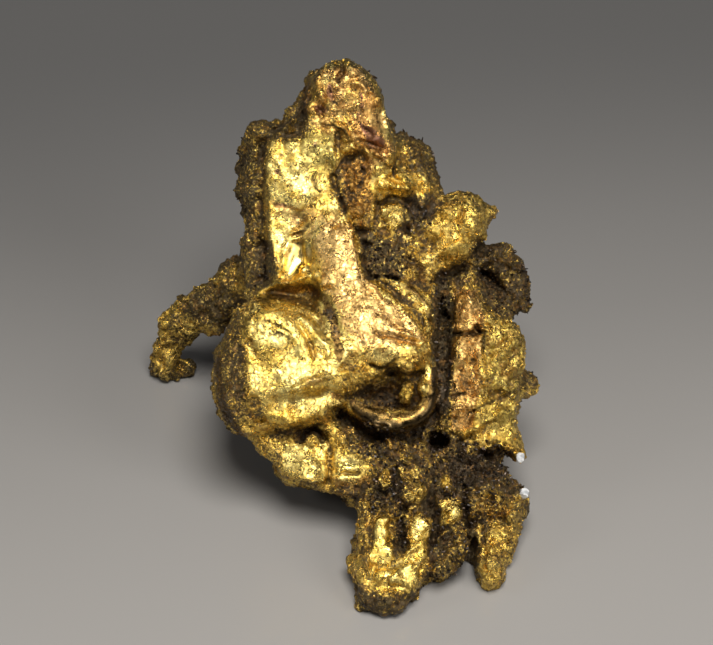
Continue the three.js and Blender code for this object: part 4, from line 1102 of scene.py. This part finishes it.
# Dark earthy crust on the bed, the feet, the stub, the dark lumps and in the gaps; on the column's and the boss's
# left sides and down the peak's left edge, which face away from the light, and in the gap under the plate, it is
# also painted shade.
crust_and_shade_sheet = paint([
    (0.8, within(BED, 1)),
    (0.3, within(FEET, 1)),
    (0.9, within(BLOCK_TOP, 0.6)),
    (0.85, within(DARK_LUMPS, 0.6)),
    (0.6, within(STUB, 1)),
    # Painted shade: the column's left side, which faces away from the light.
    (0.7, within([(-13, 22.6), (-9.6, 22.6), (-5.6, 24), (-6.6, 20.4), (-10.1, 20), (-10.2, 8), (-9, 4),
                  (-12, 3), (-13.4, 8)], 0.6)),
    # Painted shade down the peak's left edge, which faces away from the light.
    (0.75, stroke([(-5.4, 28), (-5.3, 25), (-6, 23.4)], 0.7)),
    (0.9, within([(-10.4, 9.4), (-9.2, 9), (-8.6, 6), (-9.6, 4.2), (-12, 3.6), (-11.4, 6)], 0.5)),
    (0.85, within([(0, 10), (2, 9.6), (5.2, 9.6), (5.4, 5), (1, 4.8), (0.2, 7.6)], 0.6)),
    (0.75, within([(5, 14), (8.6, 14.6), (8.8, 11), (6, 10), (4.6, 10)], 0.8)),
    (0.6, within([(5, 20.4), (7.6, 20), (9, 15), (6, 16.8)], 0.8)),
    (0.8, within(DARK_LUMPS, 0.6)),
    (0.98, stroke([(9.4, 5.4), (9.5, 1), (9.4, -2), (9.7, -5), (9.3, -9), (8.4, -11.6)], 1.5, "flat")),
    (0.5, within([(-3, -9.8), (-1, -10.2), (3.4, -12.4), (7, -12), (9.6, -10), (9.6, -13.6), (4, -14),
                  (0, -14.2)], 0.6)),
    (0.7, within([(0, -14.4), (10, -13.6), (12, -17), (6, -17), (2, -16.6)], 1)),
    # Painted shade in the gap under the plate, with the crystals there.
    (0.95, within(UNDER_PLATE, 0.8)),
    # Painted shade on the boss's left side, which faces away from the light, with its brown pitted crust.
    (0.75, within([(-15.8, -1), (-13, 1.6), (-12.4, -2), (-12, -8), (-13, -10), (-15.4, -8)], 2.6)),
    (0.7, patch((-10.8, -10), (1, 1.6))),
    (0.9, patch((-3.2, 1), (0.8, 0.6), -30, "flat")),
    (0.8, patch((-2.3, -1), (0.6, 1.2), 10)),
    (0.6, patch((-5, -12.6), (1.8, 1.4))),
    (0.7, patch((3.8, -5.2), (1.2, 0.9))),
    (0.7, patch((3.4, -8.4), (2, 1.2))),
    (0.8, patch((5, -23.4), (1.1, 2.2))),
    (0.8, stroke([(8, -19), (8.5, -22), (8.6, -27)], 0.9)),
    (0.7, patch((10, -26.6), (2, 1.8))),
    (0.95, within([(-0.6, -28.4), (1.4, -29.8), (4, -30.4), (6.8, -29.4), (7, -31.4), (4, -33),
                   (0, -32.6)], 0.8)),
    (0.8, stroke([(13, -23), (13, -27), (13.4, -30)], 0.8, "flat")),
    (0.7, patch((3, 17.6), (0.6, 0.6))),
    (0.9, stroke([(12.8, -22), (12.8, -28)], 0.7)),
    (0.25, patch((15, -19.6), (2.4, 1.6))),
    (0.3, within([(12, -14), (17, -12.6), (18.4, -14.4), (16, -16)], 0.6)),
])
# Painted highlights: patches where the light catches knobs, facets, ridges and plate faces are cleared of crust,
# rust and grit, so they show bright gold.
highlight_sheet = paint([
    (0.7, within([(10.6, 3), (13.8, 3), (13.6, -5), (12.6, -12.6), (10.6, -12), (10.4, -4)], 0.8)),
    (0.85, within([(12, -9), (17.4, -9), (18, -14), (12, -13.4)], 0.8)),
    (0.8, within([(8.6, 12), (14, 13.4), (14.6, 10), (9.4, 6.4), (7.4, 8)], 0.8)),
    (0.9, patch((10.4, -21), (1.4, 1.4), 0, "flat")),
    (0.8, patch((3.2, -17.4), (0.8, 1.3), 0, "flat")),
    (0.7, patch((6.6, -19.2), (1.6, 1.2), 0, "flat")),
    (0.8, patch((10, -17.8), (0.7, 0.9), 0, "flat")),
    (1, within([(2.3, -21.7), (3.5, -21.8), (4, -26), (3.6, -27), (1.3, -26.9), (1.9, -24.2)], 0.5)),
    (0.95, within(FOOT_RIDGE, 0.6)),
    (0.8, patch((12, -11), (1.8, 2.8), 0, "flat")),
    (0.8, patch((-8, -10.4), (2.6, 1.4), 15, "flat")),
    (0.6, patch((10, 8), (1.6, 1.4), 0, "flat")),
    (0.5, patch((6, -17.4), (1.8, 1.2), 0, "flat")),
    (0.5, patch((15.8, -23.6), (1.2, 2), 10, "flat")),
    (0.9, patch((14.4, -28.6), (1.3, 1.9), 0, "flat")),
    (0.6, patch((5.6, -14.4), (1.2, 0.8), 0, "flat")),
    (0.7, patch((12.6, 12), (2.4, 2), 0, "flat")),
    (0.9, patch((4, 15.3), (2.6, 1), -5, "flat")),
    (0.9, patch((-6, -9.6), (3.2, 1.4), 15, "flat")),
    (0.8, patch((-4.9, -12.9), (0.8, 0.65), 20, "flat")),
    (0.5, patch((1.6, 13), (1.6, 2))),
])
polished_sheet = paint([
    (0.3, patch((-7.6, -3.4), (1.8, 3))),
    (0.5, stroke([(-11, 3), (-8, 3.4), (-5.4, 3.4)], 0.9)),
    (1, patch((-6.4, 7.1), (1.9, 2.4), -25, "flat")),
    (0.8, stroke([(-0.6, -9.6), (1.6, -11), (4.4, -11.7), (7, -11), (8.6, -8.8), (8.9, -6)], 0.9, "flat")),
    (0.6, stroke([(7, 3), (8, 1.5), (7.9, -0.5)], 0.6)),
    (0.7, patch((5.6, -7.8), (0.8, 1.3))),
    (0.6, stroke([(-12, 3.3), (-9.4, 4.1), (-5.5, 5.2)], 0.4)),
])
behind = front_share(skin_points, coppery_sheet)[1]
coppery, bronze_and_shade, crease_shade, olive, purple, rust_and_shade, crust_and_shade, highlit, polish, smooth_share = (
    front_share(skin_points, mark_sheet)[0]
    for mark_sheet in (coppery_sheet, bronze_and_shade_sheet, crease_shade_sheet, olive_sheet, purple_sheet, rust_and_shade_sheet,
                       crust_and_shade_sheet, highlight_sheet, polished_sheet, smooth_sheet)
)
# Patches a few millimetres across, by which the crust and the rust thicken and thin.
patchy = swellings(skin_points * 1000, 4.2, 11) * 0.6 + swellings(skin_points * 1000, 1.7, 12) * 0.5
crust_and_shade = np.maximum(crust_and_shade, (1 - smooth_share) * np.clip(0.34 + 0.55 * patchy, 0, 0.8))
crust_and_shade = np.clip(crust_and_shade + behind * np.clip(0.3 + 0.9 * patchy, 0, 1), 0, 1)
arm = arm_share(skin_points)
crust_and_shade = np.clip(np.maximum(crust_and_shade, arm * np.clip(0.75 + patchy, 0.2, 0.95)), 0, 1)
# Painted highlights clear the crust and thin the rust.
crust_and_shade *= 1 - highlit
rust_and_shade = np.clip(rust_and_shade + behind * np.clip(0.4 - 0.8 * patchy, 0, 0.8), 0, 1)
rust_and_shade = np.maximum(rust_and_shade, (1 - smooth_share) * 0.41) * (1 - 0.45 * highlit)

# How far each place lies below the skin round it, over a short reach and over a long one.
filled = (cells < 0).astype(np.float32)
face_points = onto_face(skin_points)
cell_points = np.clip(((face_points - block_low) / CELL).round().astype(int), 0, np.array(block_size) - 1)
SHORT_REACH = 3  # cells
LONG_REACH = 4.5  # cells of twice the size
near_fill = soften(filled, SHORT_REACH, (0, 1, 2))[tuple(cell_points.T)]
half = filled[::2, ::2, ::2]
half_points = np.minimum(cell_points // 2, np.array(half.shape) - 1)
far_fill = soften(half, LONG_REACH, (0, 1, 2))[tuple(half_points.T)]
for label, values in [
    ("coppery", coppery), ("olive", olive), ("purple", purple), ("rust_and_shade", rust_and_shade), ("crust_and_shade", crust_and_shade),
    ("bronze_and_shade", bronze_and_shade), ("crease_shade", crease_shade), ("smooth", smooth_share), ("near_hollow", near_fill),
    ("far_hollow", far_fill), ("polish", polish),
]:
    give(copper_mesh, label, values)


class Finish:
    """A material's nodes, wired by short calls."""

    def __init__(self, material):
        self.material = material
        self.material.use_nodes = True
        self.nodes = self.material.node_tree.nodes
        self.link = self.material.node_tree.links.new
        self.shader = self.nodes["Principled BSDF"]
        self.place = self.nodes.new("ShaderNodeTexCoord").outputs["Object"]

    def put(self, socket, value):
        if isinstance(value, bpy.types.NodeSocket):
            self.link(value, socket)
        else:
            socket.default_value = value

    def stored(self, name):
        node = self.nodes.new("ShaderNodeAttribute")
        node.attribute_name = name
        return node.outputs["Fac"]

    def noise(self, scale, detail=3, rough=0.6):
        node = self.nodes.new("ShaderNodeTexNoise")
        self.link(self.place, node.inputs["Vector"])
        node.inputs["Scale"].default_value = scale
        node.inputs["Detail"].default_value = detail
        node.inputs["Roughness"].default_value = rough
        return node.outputs["Fac"]

    def grain(self, scale):
        node = self.nodes.new("ShaderNodeTexVoronoi")
        self.link(self.place, node.inputs["Vector"])
        node.inputs["Scale"].default_value = scale
        return node.outputs["Distance"]

    def maths(self, kind, a, b=0.0, clamp=False):
        node = self.nodes.new("ShaderNodeMath")
        node.operation = kind
        node.use_clamp = clamp
        self.put(node.inputs[0], a)
        self.put(node.inputs[1], b)
        return node.outputs[0]

    def times(self, a, b):
        return self.maths("MULTIPLY", a, b)

    def plus(self, a, b):
        return self.maths("ADD", a, b)

    def less(self, a, b):
        return self.maths("SUBTRACT", a, b)

    def vector(self, kind, **given):
        """A vector sum, its inputs given as first, second and scale."""
        node = self.nodes.new("ShaderNodeVectorMath")
        node.operation = kind
        sockets = {"first": 0, "second": 1, "scale": "Scale"}
        for label, value in given.items():
            self.put(node.inputs[sockets[label]], value)
        return node.outputs[0]

    def between(self, value, low, high, to_low=0.0, to_high=1.0):
        node = self.nodes.new("ShaderNodeMapRange")
        node.interpolation_type = "SMOOTHSTEP"
        for socket, given in zip(node.inputs, (value, low, high, to_low, to_high)):
            self.put(socket, given)
        return node.outputs[0]

    def mix(self, share, one, other):
        node = self.nodes.new("ShaderNodeMix")
        node.data_type = "RGBA"
        self.put(node.inputs["Factor"], share)
        self.put(node.inputs["A"], one)
        self.put(node.inputs["B"], other)
        return node.outputs["Result"]

    def bump(self, height, strength, distance, under=None):
        node = self.nodes.new("ShaderNodeBump")
        self.put(node.inputs["Height"], height)
        node.inputs["Strength"].default_value = strength
        node.inputs["Distance"].default_value = distance
        if under is not None:
            self.link(under, node.inputs["Normal"])
        return node.outputs["Normal"]


def blotches(finish, name, edge_scale=900, low=0.35, high=0.75):
    """A stored mark, broken up at its edges as a tarnish is."""
    ragged = finish.times(finish.less(finish.noise(edge_scale, 4, 0.7), 0.5), 1.4)
    stored = finish.stored(name)
    inside = finish.between(stored, 0.02, 0.3)
    return finish.between(finish.plus(stored, finish.times(ragged, inside)), low, high)


GOLD = (0.82, 0.55, 0.105, 1)
PALE_GOLD = (0.95, 0.77, 0.26, 1)
COPPERY = (0.74, 0.45, 0.175, 1)
OLIVE = (0.43, 0.34, 0.085, 1)
PURPLE = (0.21, 0.095, 0.08, 1)
RUST = (0.36, 0.155, 0.035, 1)
BROWN = (0.19, 0.095, 0.027, 1)
BRONZE_AND_SHADE = (0.12, 0.064, 0.02, 1)
CRUST_AND_SHADE = (0.045, 0.032, 0.018, 1)

metal = Finish(copper_finish)
smooth = metal.stored("smooth")
paleness = metal.between(smooth, 0.1, 0.8, 0.3, 1.0)
pale = metal.times(metal.between(metal.noise(420, 4), 0.35, 0.65), paleness)
gold = metal.mix(pale, GOLD, PALE_GOLD)
for mark, ragged_scale, share, colour in [
    ("coppery", 500, 0.75, COPPERY), ("olive", 700, 0.65, OLIVE), ("rust_and_shade", 900, 0.75, RUST),
    ("purple", 1400, 0.8, PURPLE),
]:
    gold = metal.mix(metal.times(blotches(metal, mark, ragged_scale), share), gold, colour)
# Painted shade and oxide in the hollows: the deeper a place lies below the skin round it, the browner it is
# painted.
near_hollow = metal.times(metal.between(metal.stored("near_hollow"), 0.5, 0.66), 0.6)
far_hollow = metal.times(metal.between(metal.stored("far_hollow"), 0.5, 0.72), 0.7)
hollow_oxide_and_shade = metal.maths("ADD", near_hollow, far_hollow, True)
# Fine dark cracks and pits wander over the smooth skin, and specks of crust thicken to a mat in the gaps, and in
# the hollows as painted shade.
polished = metal.between(metal.stored("polish"), 0.3, 1, 1.0, 0.06)
crack = metal.maths("ABSOLUTE", metal.less(metal.noise(1150, 4, 0.65), 0.5))
cracks = metal.between(crack, 0.005, 0.034, 1.0, 0.0)
hair = metal.maths("ABSOLUTE", metal.less(metal.noise(2700, 3, 0.6), 0.5))
hair = metal.times(metal.between(hair, 0.004, 0.035, 1.0, 0.0), 0.55)
cracks = metal.maths("MAXIMUM", cracks, hair)
specks = metal.noise(2900, 3, 0.7)
# The crust mark, painted shade in part, thickens the dark specks.
laid = metal.plus(specks, metal.times(metal.stored("crust_and_shade"), 0.27))
laid = metal.plus(laid, metal.times(hollow_oxide_and_shade, 0.14))
laid = metal.less(laid, metal.times(smooth, 0.07))
crusted = metal.times(metal.between(laid, 0.585, 0.70), polished)
gold = metal.mix(metal.times(metal.times(cracks, polished), 0.72), gold, BROWN)
# Painted shade and bronze tarnish: darkens towards near-black bronze.
gold = metal.mix(metal.times(blotches(metal, "bronze_and_shade", 600, 0.25, 0.6), 0.9), gold, BRONZE_AND_SHADE)
# Painted shade: the grooves, gaps, holes and the curl's down-turned rim are darkened towards the near-black crust
# colour.
gold = metal.mix(metal.between(metal.stored("crease_shade"), 0.15, 0.6, 0.0, 0.85), gold, CRUST_AND_SHADE)
# Painted shade in the hollows, with the brown oxide they hold.
gold = metal.mix(metal.times(hollow_oxide_and_shade, 0.52), gold, BROWN)
dark = metal.mix(metal.between(metal.noise(1500, 3), 0.5, 0.72), CRUST_AND_SHADE, BROWN)
metal.put(metal.shader.inputs["Base Color"], metal.mix(metal.times(crusted, 0.94), gold, dark))
metal.put(metal.shader.inputs["Metallic"], metal.less(1.0, metal.times(crusted, 0.35)))
dull = metal.between(metal.noise(1300, 3), 0.35, 0.7, 0.2, 0.38)
metal.put(metal.shader.inputs["Roughness"], metal.plus(dull, metal.times(crusted, 0.16)))
pitted = metal.less(metal.noise(2600, 4, 0.75), metal.times(cracks, 0.35))
coarse = metal.times(polished, metal.less(1.0, metal.times(smooth, 0.75)))
fine = metal.bump(metal.times(pitted, coarse), 0.75, 0.0002)
# Each tiny face of the torn metal is tipped its own way, which is what makes it sparkle.
tips = metal.nodes.new("ShaderNodeTexVoronoi")
metal.link(metal.place, tips.inputs["Vector"])
tips.inputs["Scale"].default_value = 3600
centred = metal.vector("SUBTRACT", first=tips.outputs["Color"], second=(0.5, 0.5, 0.5))
tipped = metal.vector("SCALE", first=centred, scale=metal.times(coarse, 0.75))
turned = metal.vector("ADD", first=fine, second=tipped)
metal.put(metal.shader.inputs["Normal"], metal.vector("NORMALIZE", first=turned))
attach(copper, "root")
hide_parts("copper_nugget")

# ---- The torn grains -------------------------------------------------------------------------------------------
# Where the copper is torn it ends in hundreds of small hackly points and grains. Each is a stub of the same
# metal, standing out of the skin, and they are scattered by how torn the skin is.
DEEP_HOLLOW = 0.66  # from here on a hollow is too deep for grains to show
torn = (1 - smooth_share) * np.clip(0.5 + 0.8 * patchy, 0, 1) * (near_fill < DEEP_HOLLOW)
uncreased = 1 - 0.8 * np.clip(2 * crease_shade, 0, 1)
unmatted = 1 - np.clip(1.4 * crust_and_shade - 0.8, 0, 0.4)
torn *= (1 - 0.7 * behind) * uncreased * unmatted * (1 - highlit)
give(copper_mesh, "torn", torn)


LEAN = 0.7  # radians, how far a grain may lean from the skin
SPIN = 3.1  # radians, how far it may turn about itself


def scatter_tree(name, mark, shape, finish):
    """Scatters a small shape over a skin, thickest where the stored mark is strongest."""
    tree, given = begin_tree(name, {
        "Grains per Square Metre": 1e6, "Smallest Grain": 0.0002, "Largest Grain": 0.0006, "Seed": 0,
    })
    nodes, link = tree.nodes, tree.links.new
    stored = nodes.new("GeometryNodeInputNamedAttribute")
    stored.data_type = "FLOAT"
    stored.inputs["Name"].default_value = mark
    many = nodes.new("ShaderNodeMath")
    many.operation = "MULTIPLY"
    link(stored.outputs[0], many.inputs[0])
    link(given.outputs["Grains per Square Metre"], many.inputs[1])
    spots = nodes.new("GeometryNodeDistributePointsOnFaces")
    link(given.outputs["Geometry"], spots.inputs["Mesh"])
    link(many.outputs[0], spots.inputs["Density"])
    link(given.outputs["Seed"], spots.inputs["Seed"])
    lean = nodes.new("FunctionNodeRandomValue")
    lean.data_type = "FLOAT_VECTOR"
    lean.inputs["Min"].default_value = (-LEAN, -LEAN, -SPIN)
    lean.inputs["Max"].default_value = (LEAN, LEAN, SPIN)
    link(given.outputs["Seed"], lean.inputs["Seed"])
    turned = nodes.new("FunctionNodeRotateRotation")
    turned.rotation_space = "LOCAL"
    link(spots.outputs["Rotation"], turned.inputs[0])
    link(lean.outputs[0], turned.inputs[1])
    size = nodes.new("FunctionNodeRandomValue")
    size.data_type = "FLOAT_VECTOR"
    link(given.outputs["Smallest Grain"], size.inputs["Min"])
    link(given.outputs["Largest Grain"], size.inputs["Max"])
    link(given.outputs["Seed"], size.inputs["Seed"])
    grain = nodes.new(shape)
    if shape == "GeometryNodeMeshCone":
        grain.inputs["Vertices"].default_value = 5
        grain.inputs["Radius Top"].default_value = 0.3
        grain.inputs["Radius Bottom"].default_value = 0.6
        grain.inputs["Depth"].default_value = 1.1
    else:
        grain.inputs["Radius"].default_value = 0.55
    placed = nodes.new("GeometryNodeInstanceOnPoints")
    link(spots.outputs["Points"], placed.inputs["Points"])
    link(grain.outputs[0], placed.inputs["Instance"])
    link(turned.outputs[0], placed.inputs["Rotation"])
    link(size.outputs[0], placed.inputs["Scale"])
    return end_tree(tree, placed.outputs[0], finish)


def scattered(name, tree, sizes):
    """The grains that a tree scatters over the copper skin, as a piece of their own that stays above the table."""
    grains = grown(copper_mesh, tree, name, sizes)
    places = np.empty(len(grains.data.vertices) * 3, np.float32)
    grains.data.vertices.foreach_get("co", places)
    places[2::3] = np.maximum(places[2::3], 0)
    grains.data.vertices.foreach_set("co", places)
    grains.data.polygons.foreach_set("use_smooth", np.zeros(len(grains.data.polygons), bool))
    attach(grains, "root")


scattered("torn_grains", scatter_tree("torn_grains", "torn", "GeometryNodeMeshIcoSphere", copper_finish), {
    "Grains per Square Metre": 2.6e6, "Smallest Grain": 0.00014, "Largest Grain": 0.00042, "Seed": 5,
})

# ---- The crust crystals ----------------------------------------------------------------------------------------
# Dark gritty crystals of oxide packed into the gaps between the lobes, glassy enough to glint.
gritty_sheet = paint([
    (0.8, within(BED, 1)),
    (0.4, within(STUB, 1)),
    (1, within(UNDER_PLATE, 0.8)),
    (0.6, within([(-3, -9.8), (3.4, -12.4), (9.6, -11), (10, -13.6), (4, -14.2), (0, -14.2)], 0.6)),
    (0.3, within(DARK_LUMPS, 0.6)),
    (0.9, within(BLOCK_TOP, 0.6)),
    (0.8, stroke([(9.4, 5.4), (9.5, 1), (9.4, -2), (9.7, -5), (9.3, -9)], 1.2, "flat")),
    (0.7, within([(5, 14), (8.6, 14.6), (8.8, 11), (6, 10)], 0.8)),
    (0.7, patch((-3.2, 0.8), (0.8, 0.6), -30, "flat")),
    (0.7, patch((-2.3, -1), (0.5, 1.2), 20, "flat")),
    (0.8, within([(-10.6, 8.6), (-9.4, 8), (-9.2, 5), (-11.4, 3.8), (-11.6, 6)], 0.6)),
    (0.8, patch((3.2, -8.8), (2, 0.9), 0, "flat")),
    (0.8, patch((4.9, -23.4), (0.9, 2), 0, "flat")),
    (0.8, patch((2, -31.4), (2.2, 1), 0, "flat")),
])
gritty = front_share(skin_points, gritty_sheet)[0] * np.clip(0.6 + patchy, 0.15, 1)
gritty *= 1 - highlit
gritty = np.maximum(gritty, 0.2 * behind * np.clip(patchy - 0.2, 0, 1))
give(copper_mesh, "gritty", gritty)
grit = Finish(bpy.data.materials.new("dark_grit"))
tone = grit.mix(grit.between(grit.noise(900, 3), 0.4, 0.62), (0.016, 0.012, 0.010, 1),
                (0.055, 0.032, 0.015, 1))
tone = grit.mix(grit.between(grit.noise(1700, 2), 0.6, 0.72), tone, (0.36, 0.23, 0.07, 1))
grit.put(grit.shader.inputs["Base Color"], tone)
grit.shader.inputs["Metallic"].default_value = 0.55
grit.put(grit.shader.inputs["Roughness"], grit.between(grit.noise(2400, 2), 0.35, 0.65, 0.14, 0.42))
grit.put(grit.shader.inputs["Normal"], grit.bump(grit.noise(5200, 3), 0.4, 0.0001))
scattered("crust_crystals", scatter_tree("crust_crystals", "gritty", "GeometryNodeMeshCone", grit.material), {
    "Grains per Square Metre": 5.5e6, "Smallest Grain": 0.00012, "Largest Grain": 0.00036, "Seed": 9,
})

# ---- The pale crystals -----------------------------------------------------------------------------------------
# Three small crystals of clear, milky mineral left on the edge of the plate, the right foot and the bed. Each is
# a broken lump with flat faces, grown onto the metal.
crystal_mesh = bpy.data.meshes.new("pale_crystals")
shaper = bmesh.new()
for turn, (place, wide) in enumerate([((18.2, -15), 0.6), ((18.6, -19), 0.65), ((10.2, -18.6), 0.45)]):
    centre = off_face(on_face([place], [wide], 0.1))[0]
    sides = np.linalg.qr(np.random.default_rng(turn).normal(size=(3, 3)))[0]
    for corner in bmesh.ops.create_icosphere(shaper, subdivisions=2, radius=wide / 1000)["verts"]:
        way = np.array(corner.co) / np.linalg.norm(corner.co)
        corner.co = Vector(centre + way * wide / 1000 * (0.72 / np.abs(sides @ way).max()))
shaper.to_mesh(crystal_mesh)
shaper.free()
pale_crystals = bpy.data.objects.new("pale_crystals", crystal_mesh)
bpy.context.scene.collection.objects.link(pale_crystals)
milky = Finish(bpy.data.materials.new("milky_crystal"))
clear = milky.between(milky.noise(1400, 3), 0.35, 0.65)
milky.put(milky.shader.inputs["Base Color"], milky.mix(clear, (0.34, 0.35, 0.36, 1), (0.72, 0.73, 0.74, 1)))
milky.put(milky.shader.inputs["Roughness"], milky.between(milky.noise(2600, 2), 0.3, 0.7, 0.12, 0.4))
crystal_mesh.materials.append(milky.material)
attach(pale_crystals, "root")

# ---- The table, the light and the camera ----------------------------------------------------------------------
# A pale table with a slight sheen that falls off into shade towards the back, a broad soft light overhead, and
# the camera looking down on the face.
table_mesh = bpy.data.meshes.new("table")
table_mesh.from_pydata([(-2, -2, 0), (2, -2, 0), (2, 2, 0), (-2, 2, 0)], [], [(0, 1, 2, 3)])
table = bpy.data.objects.new("table", table_mesh)
bpy.context.scene.collection.objects.link(table)
board = Finish(bpy.data.materials.new("table_board"))
split = board.nodes.new("ShaderNodeSeparateXYZ")
board.link(board.place, split.inputs[0])
shade = board.nodes.new("ShaderNodeValToRGB")
# Painted shade: the table's colour darkens towards the back, and sooner on the left.
painted_left_shade = board.between(split.outputs["X"], -0.05, 0.03, -0.010, 0.0)
board.link(board.between(board.less(split.outputs["Y"], painted_left_shade), -0.035, 0.097), shade.inputs[0])
shade.color_ramp.elements[0].color = (0.279, 0.269, 0.259, 1)
shade.color_ramp.elements[1].color = (0.101, 0.100, 0.099, 1)
board.put(board.shader.inputs["Base Color"], shade.outputs[0])
board.shader.inputs["Roughness"].default_value = 0.3
table_mesh.materials.append(board.material)


def soft_light(name, at, size, power, tint=(1, 1, 1)):
    lamp = bpy.data.lights.new(name, "AREA")
    lamp.shape = "DISK"
    lamp.size = size
    lamp.energy = power
    lamp.color = tint
    holder = bpy.data.objects.new(name, lamp)
    holder.location = at
    holder.rotation_euler = (Vector((0, 0, 0.015)) - Vector(at)).to_track_quat("-Z", "Y").to_euler()
    bpy.context.scene.collection.objects.link(holder)


soft_light("overhead", (0.05, -0.22, 0.58), 0.32, 5.0, (1, 0.97, 0.92))
soft_light("side_fill", (0.38, -0.30, 0.34), 0.26, 1.1, (1, 0.98, 0.95))
soft_light("left_fill", (-0.42, -0.12, 0.30), 0.2, 0.35, (1, 0.98, 0.95))
world = bpy.data.worlds.new("room")
bpy.context.scene.world = world
world.use_nodes = True
glow = world.node_tree.nodes["Background"].inputs
glow["Color"].default_value = (0.05, 0.05, 0.052, 1)
glow["Strength"].default_value = 1.0
bpy.context.scene.view_settings.view_transform = "Standard"

eye = bpy.data.cameras.new("camera")
eye.lens = 150
eye.sensor_width = 36
eye.clip_start = 0.01
camera = bpy.data.objects.new("camera", eye)
aim = Vector((0.0018912, 0.0059892, 0.0154))
EYE_AWAY = 0.33  # m
camera.location = aim + EYE_AWAY * Vector(FACE_AXES[2])
camera.rotation_euler = (aim - camera.location).to_track_quat("-Z", "Y").to_euler()
bpy.context.scene.collection.objects.link(camera)
bpy.context.scene.camera = camera
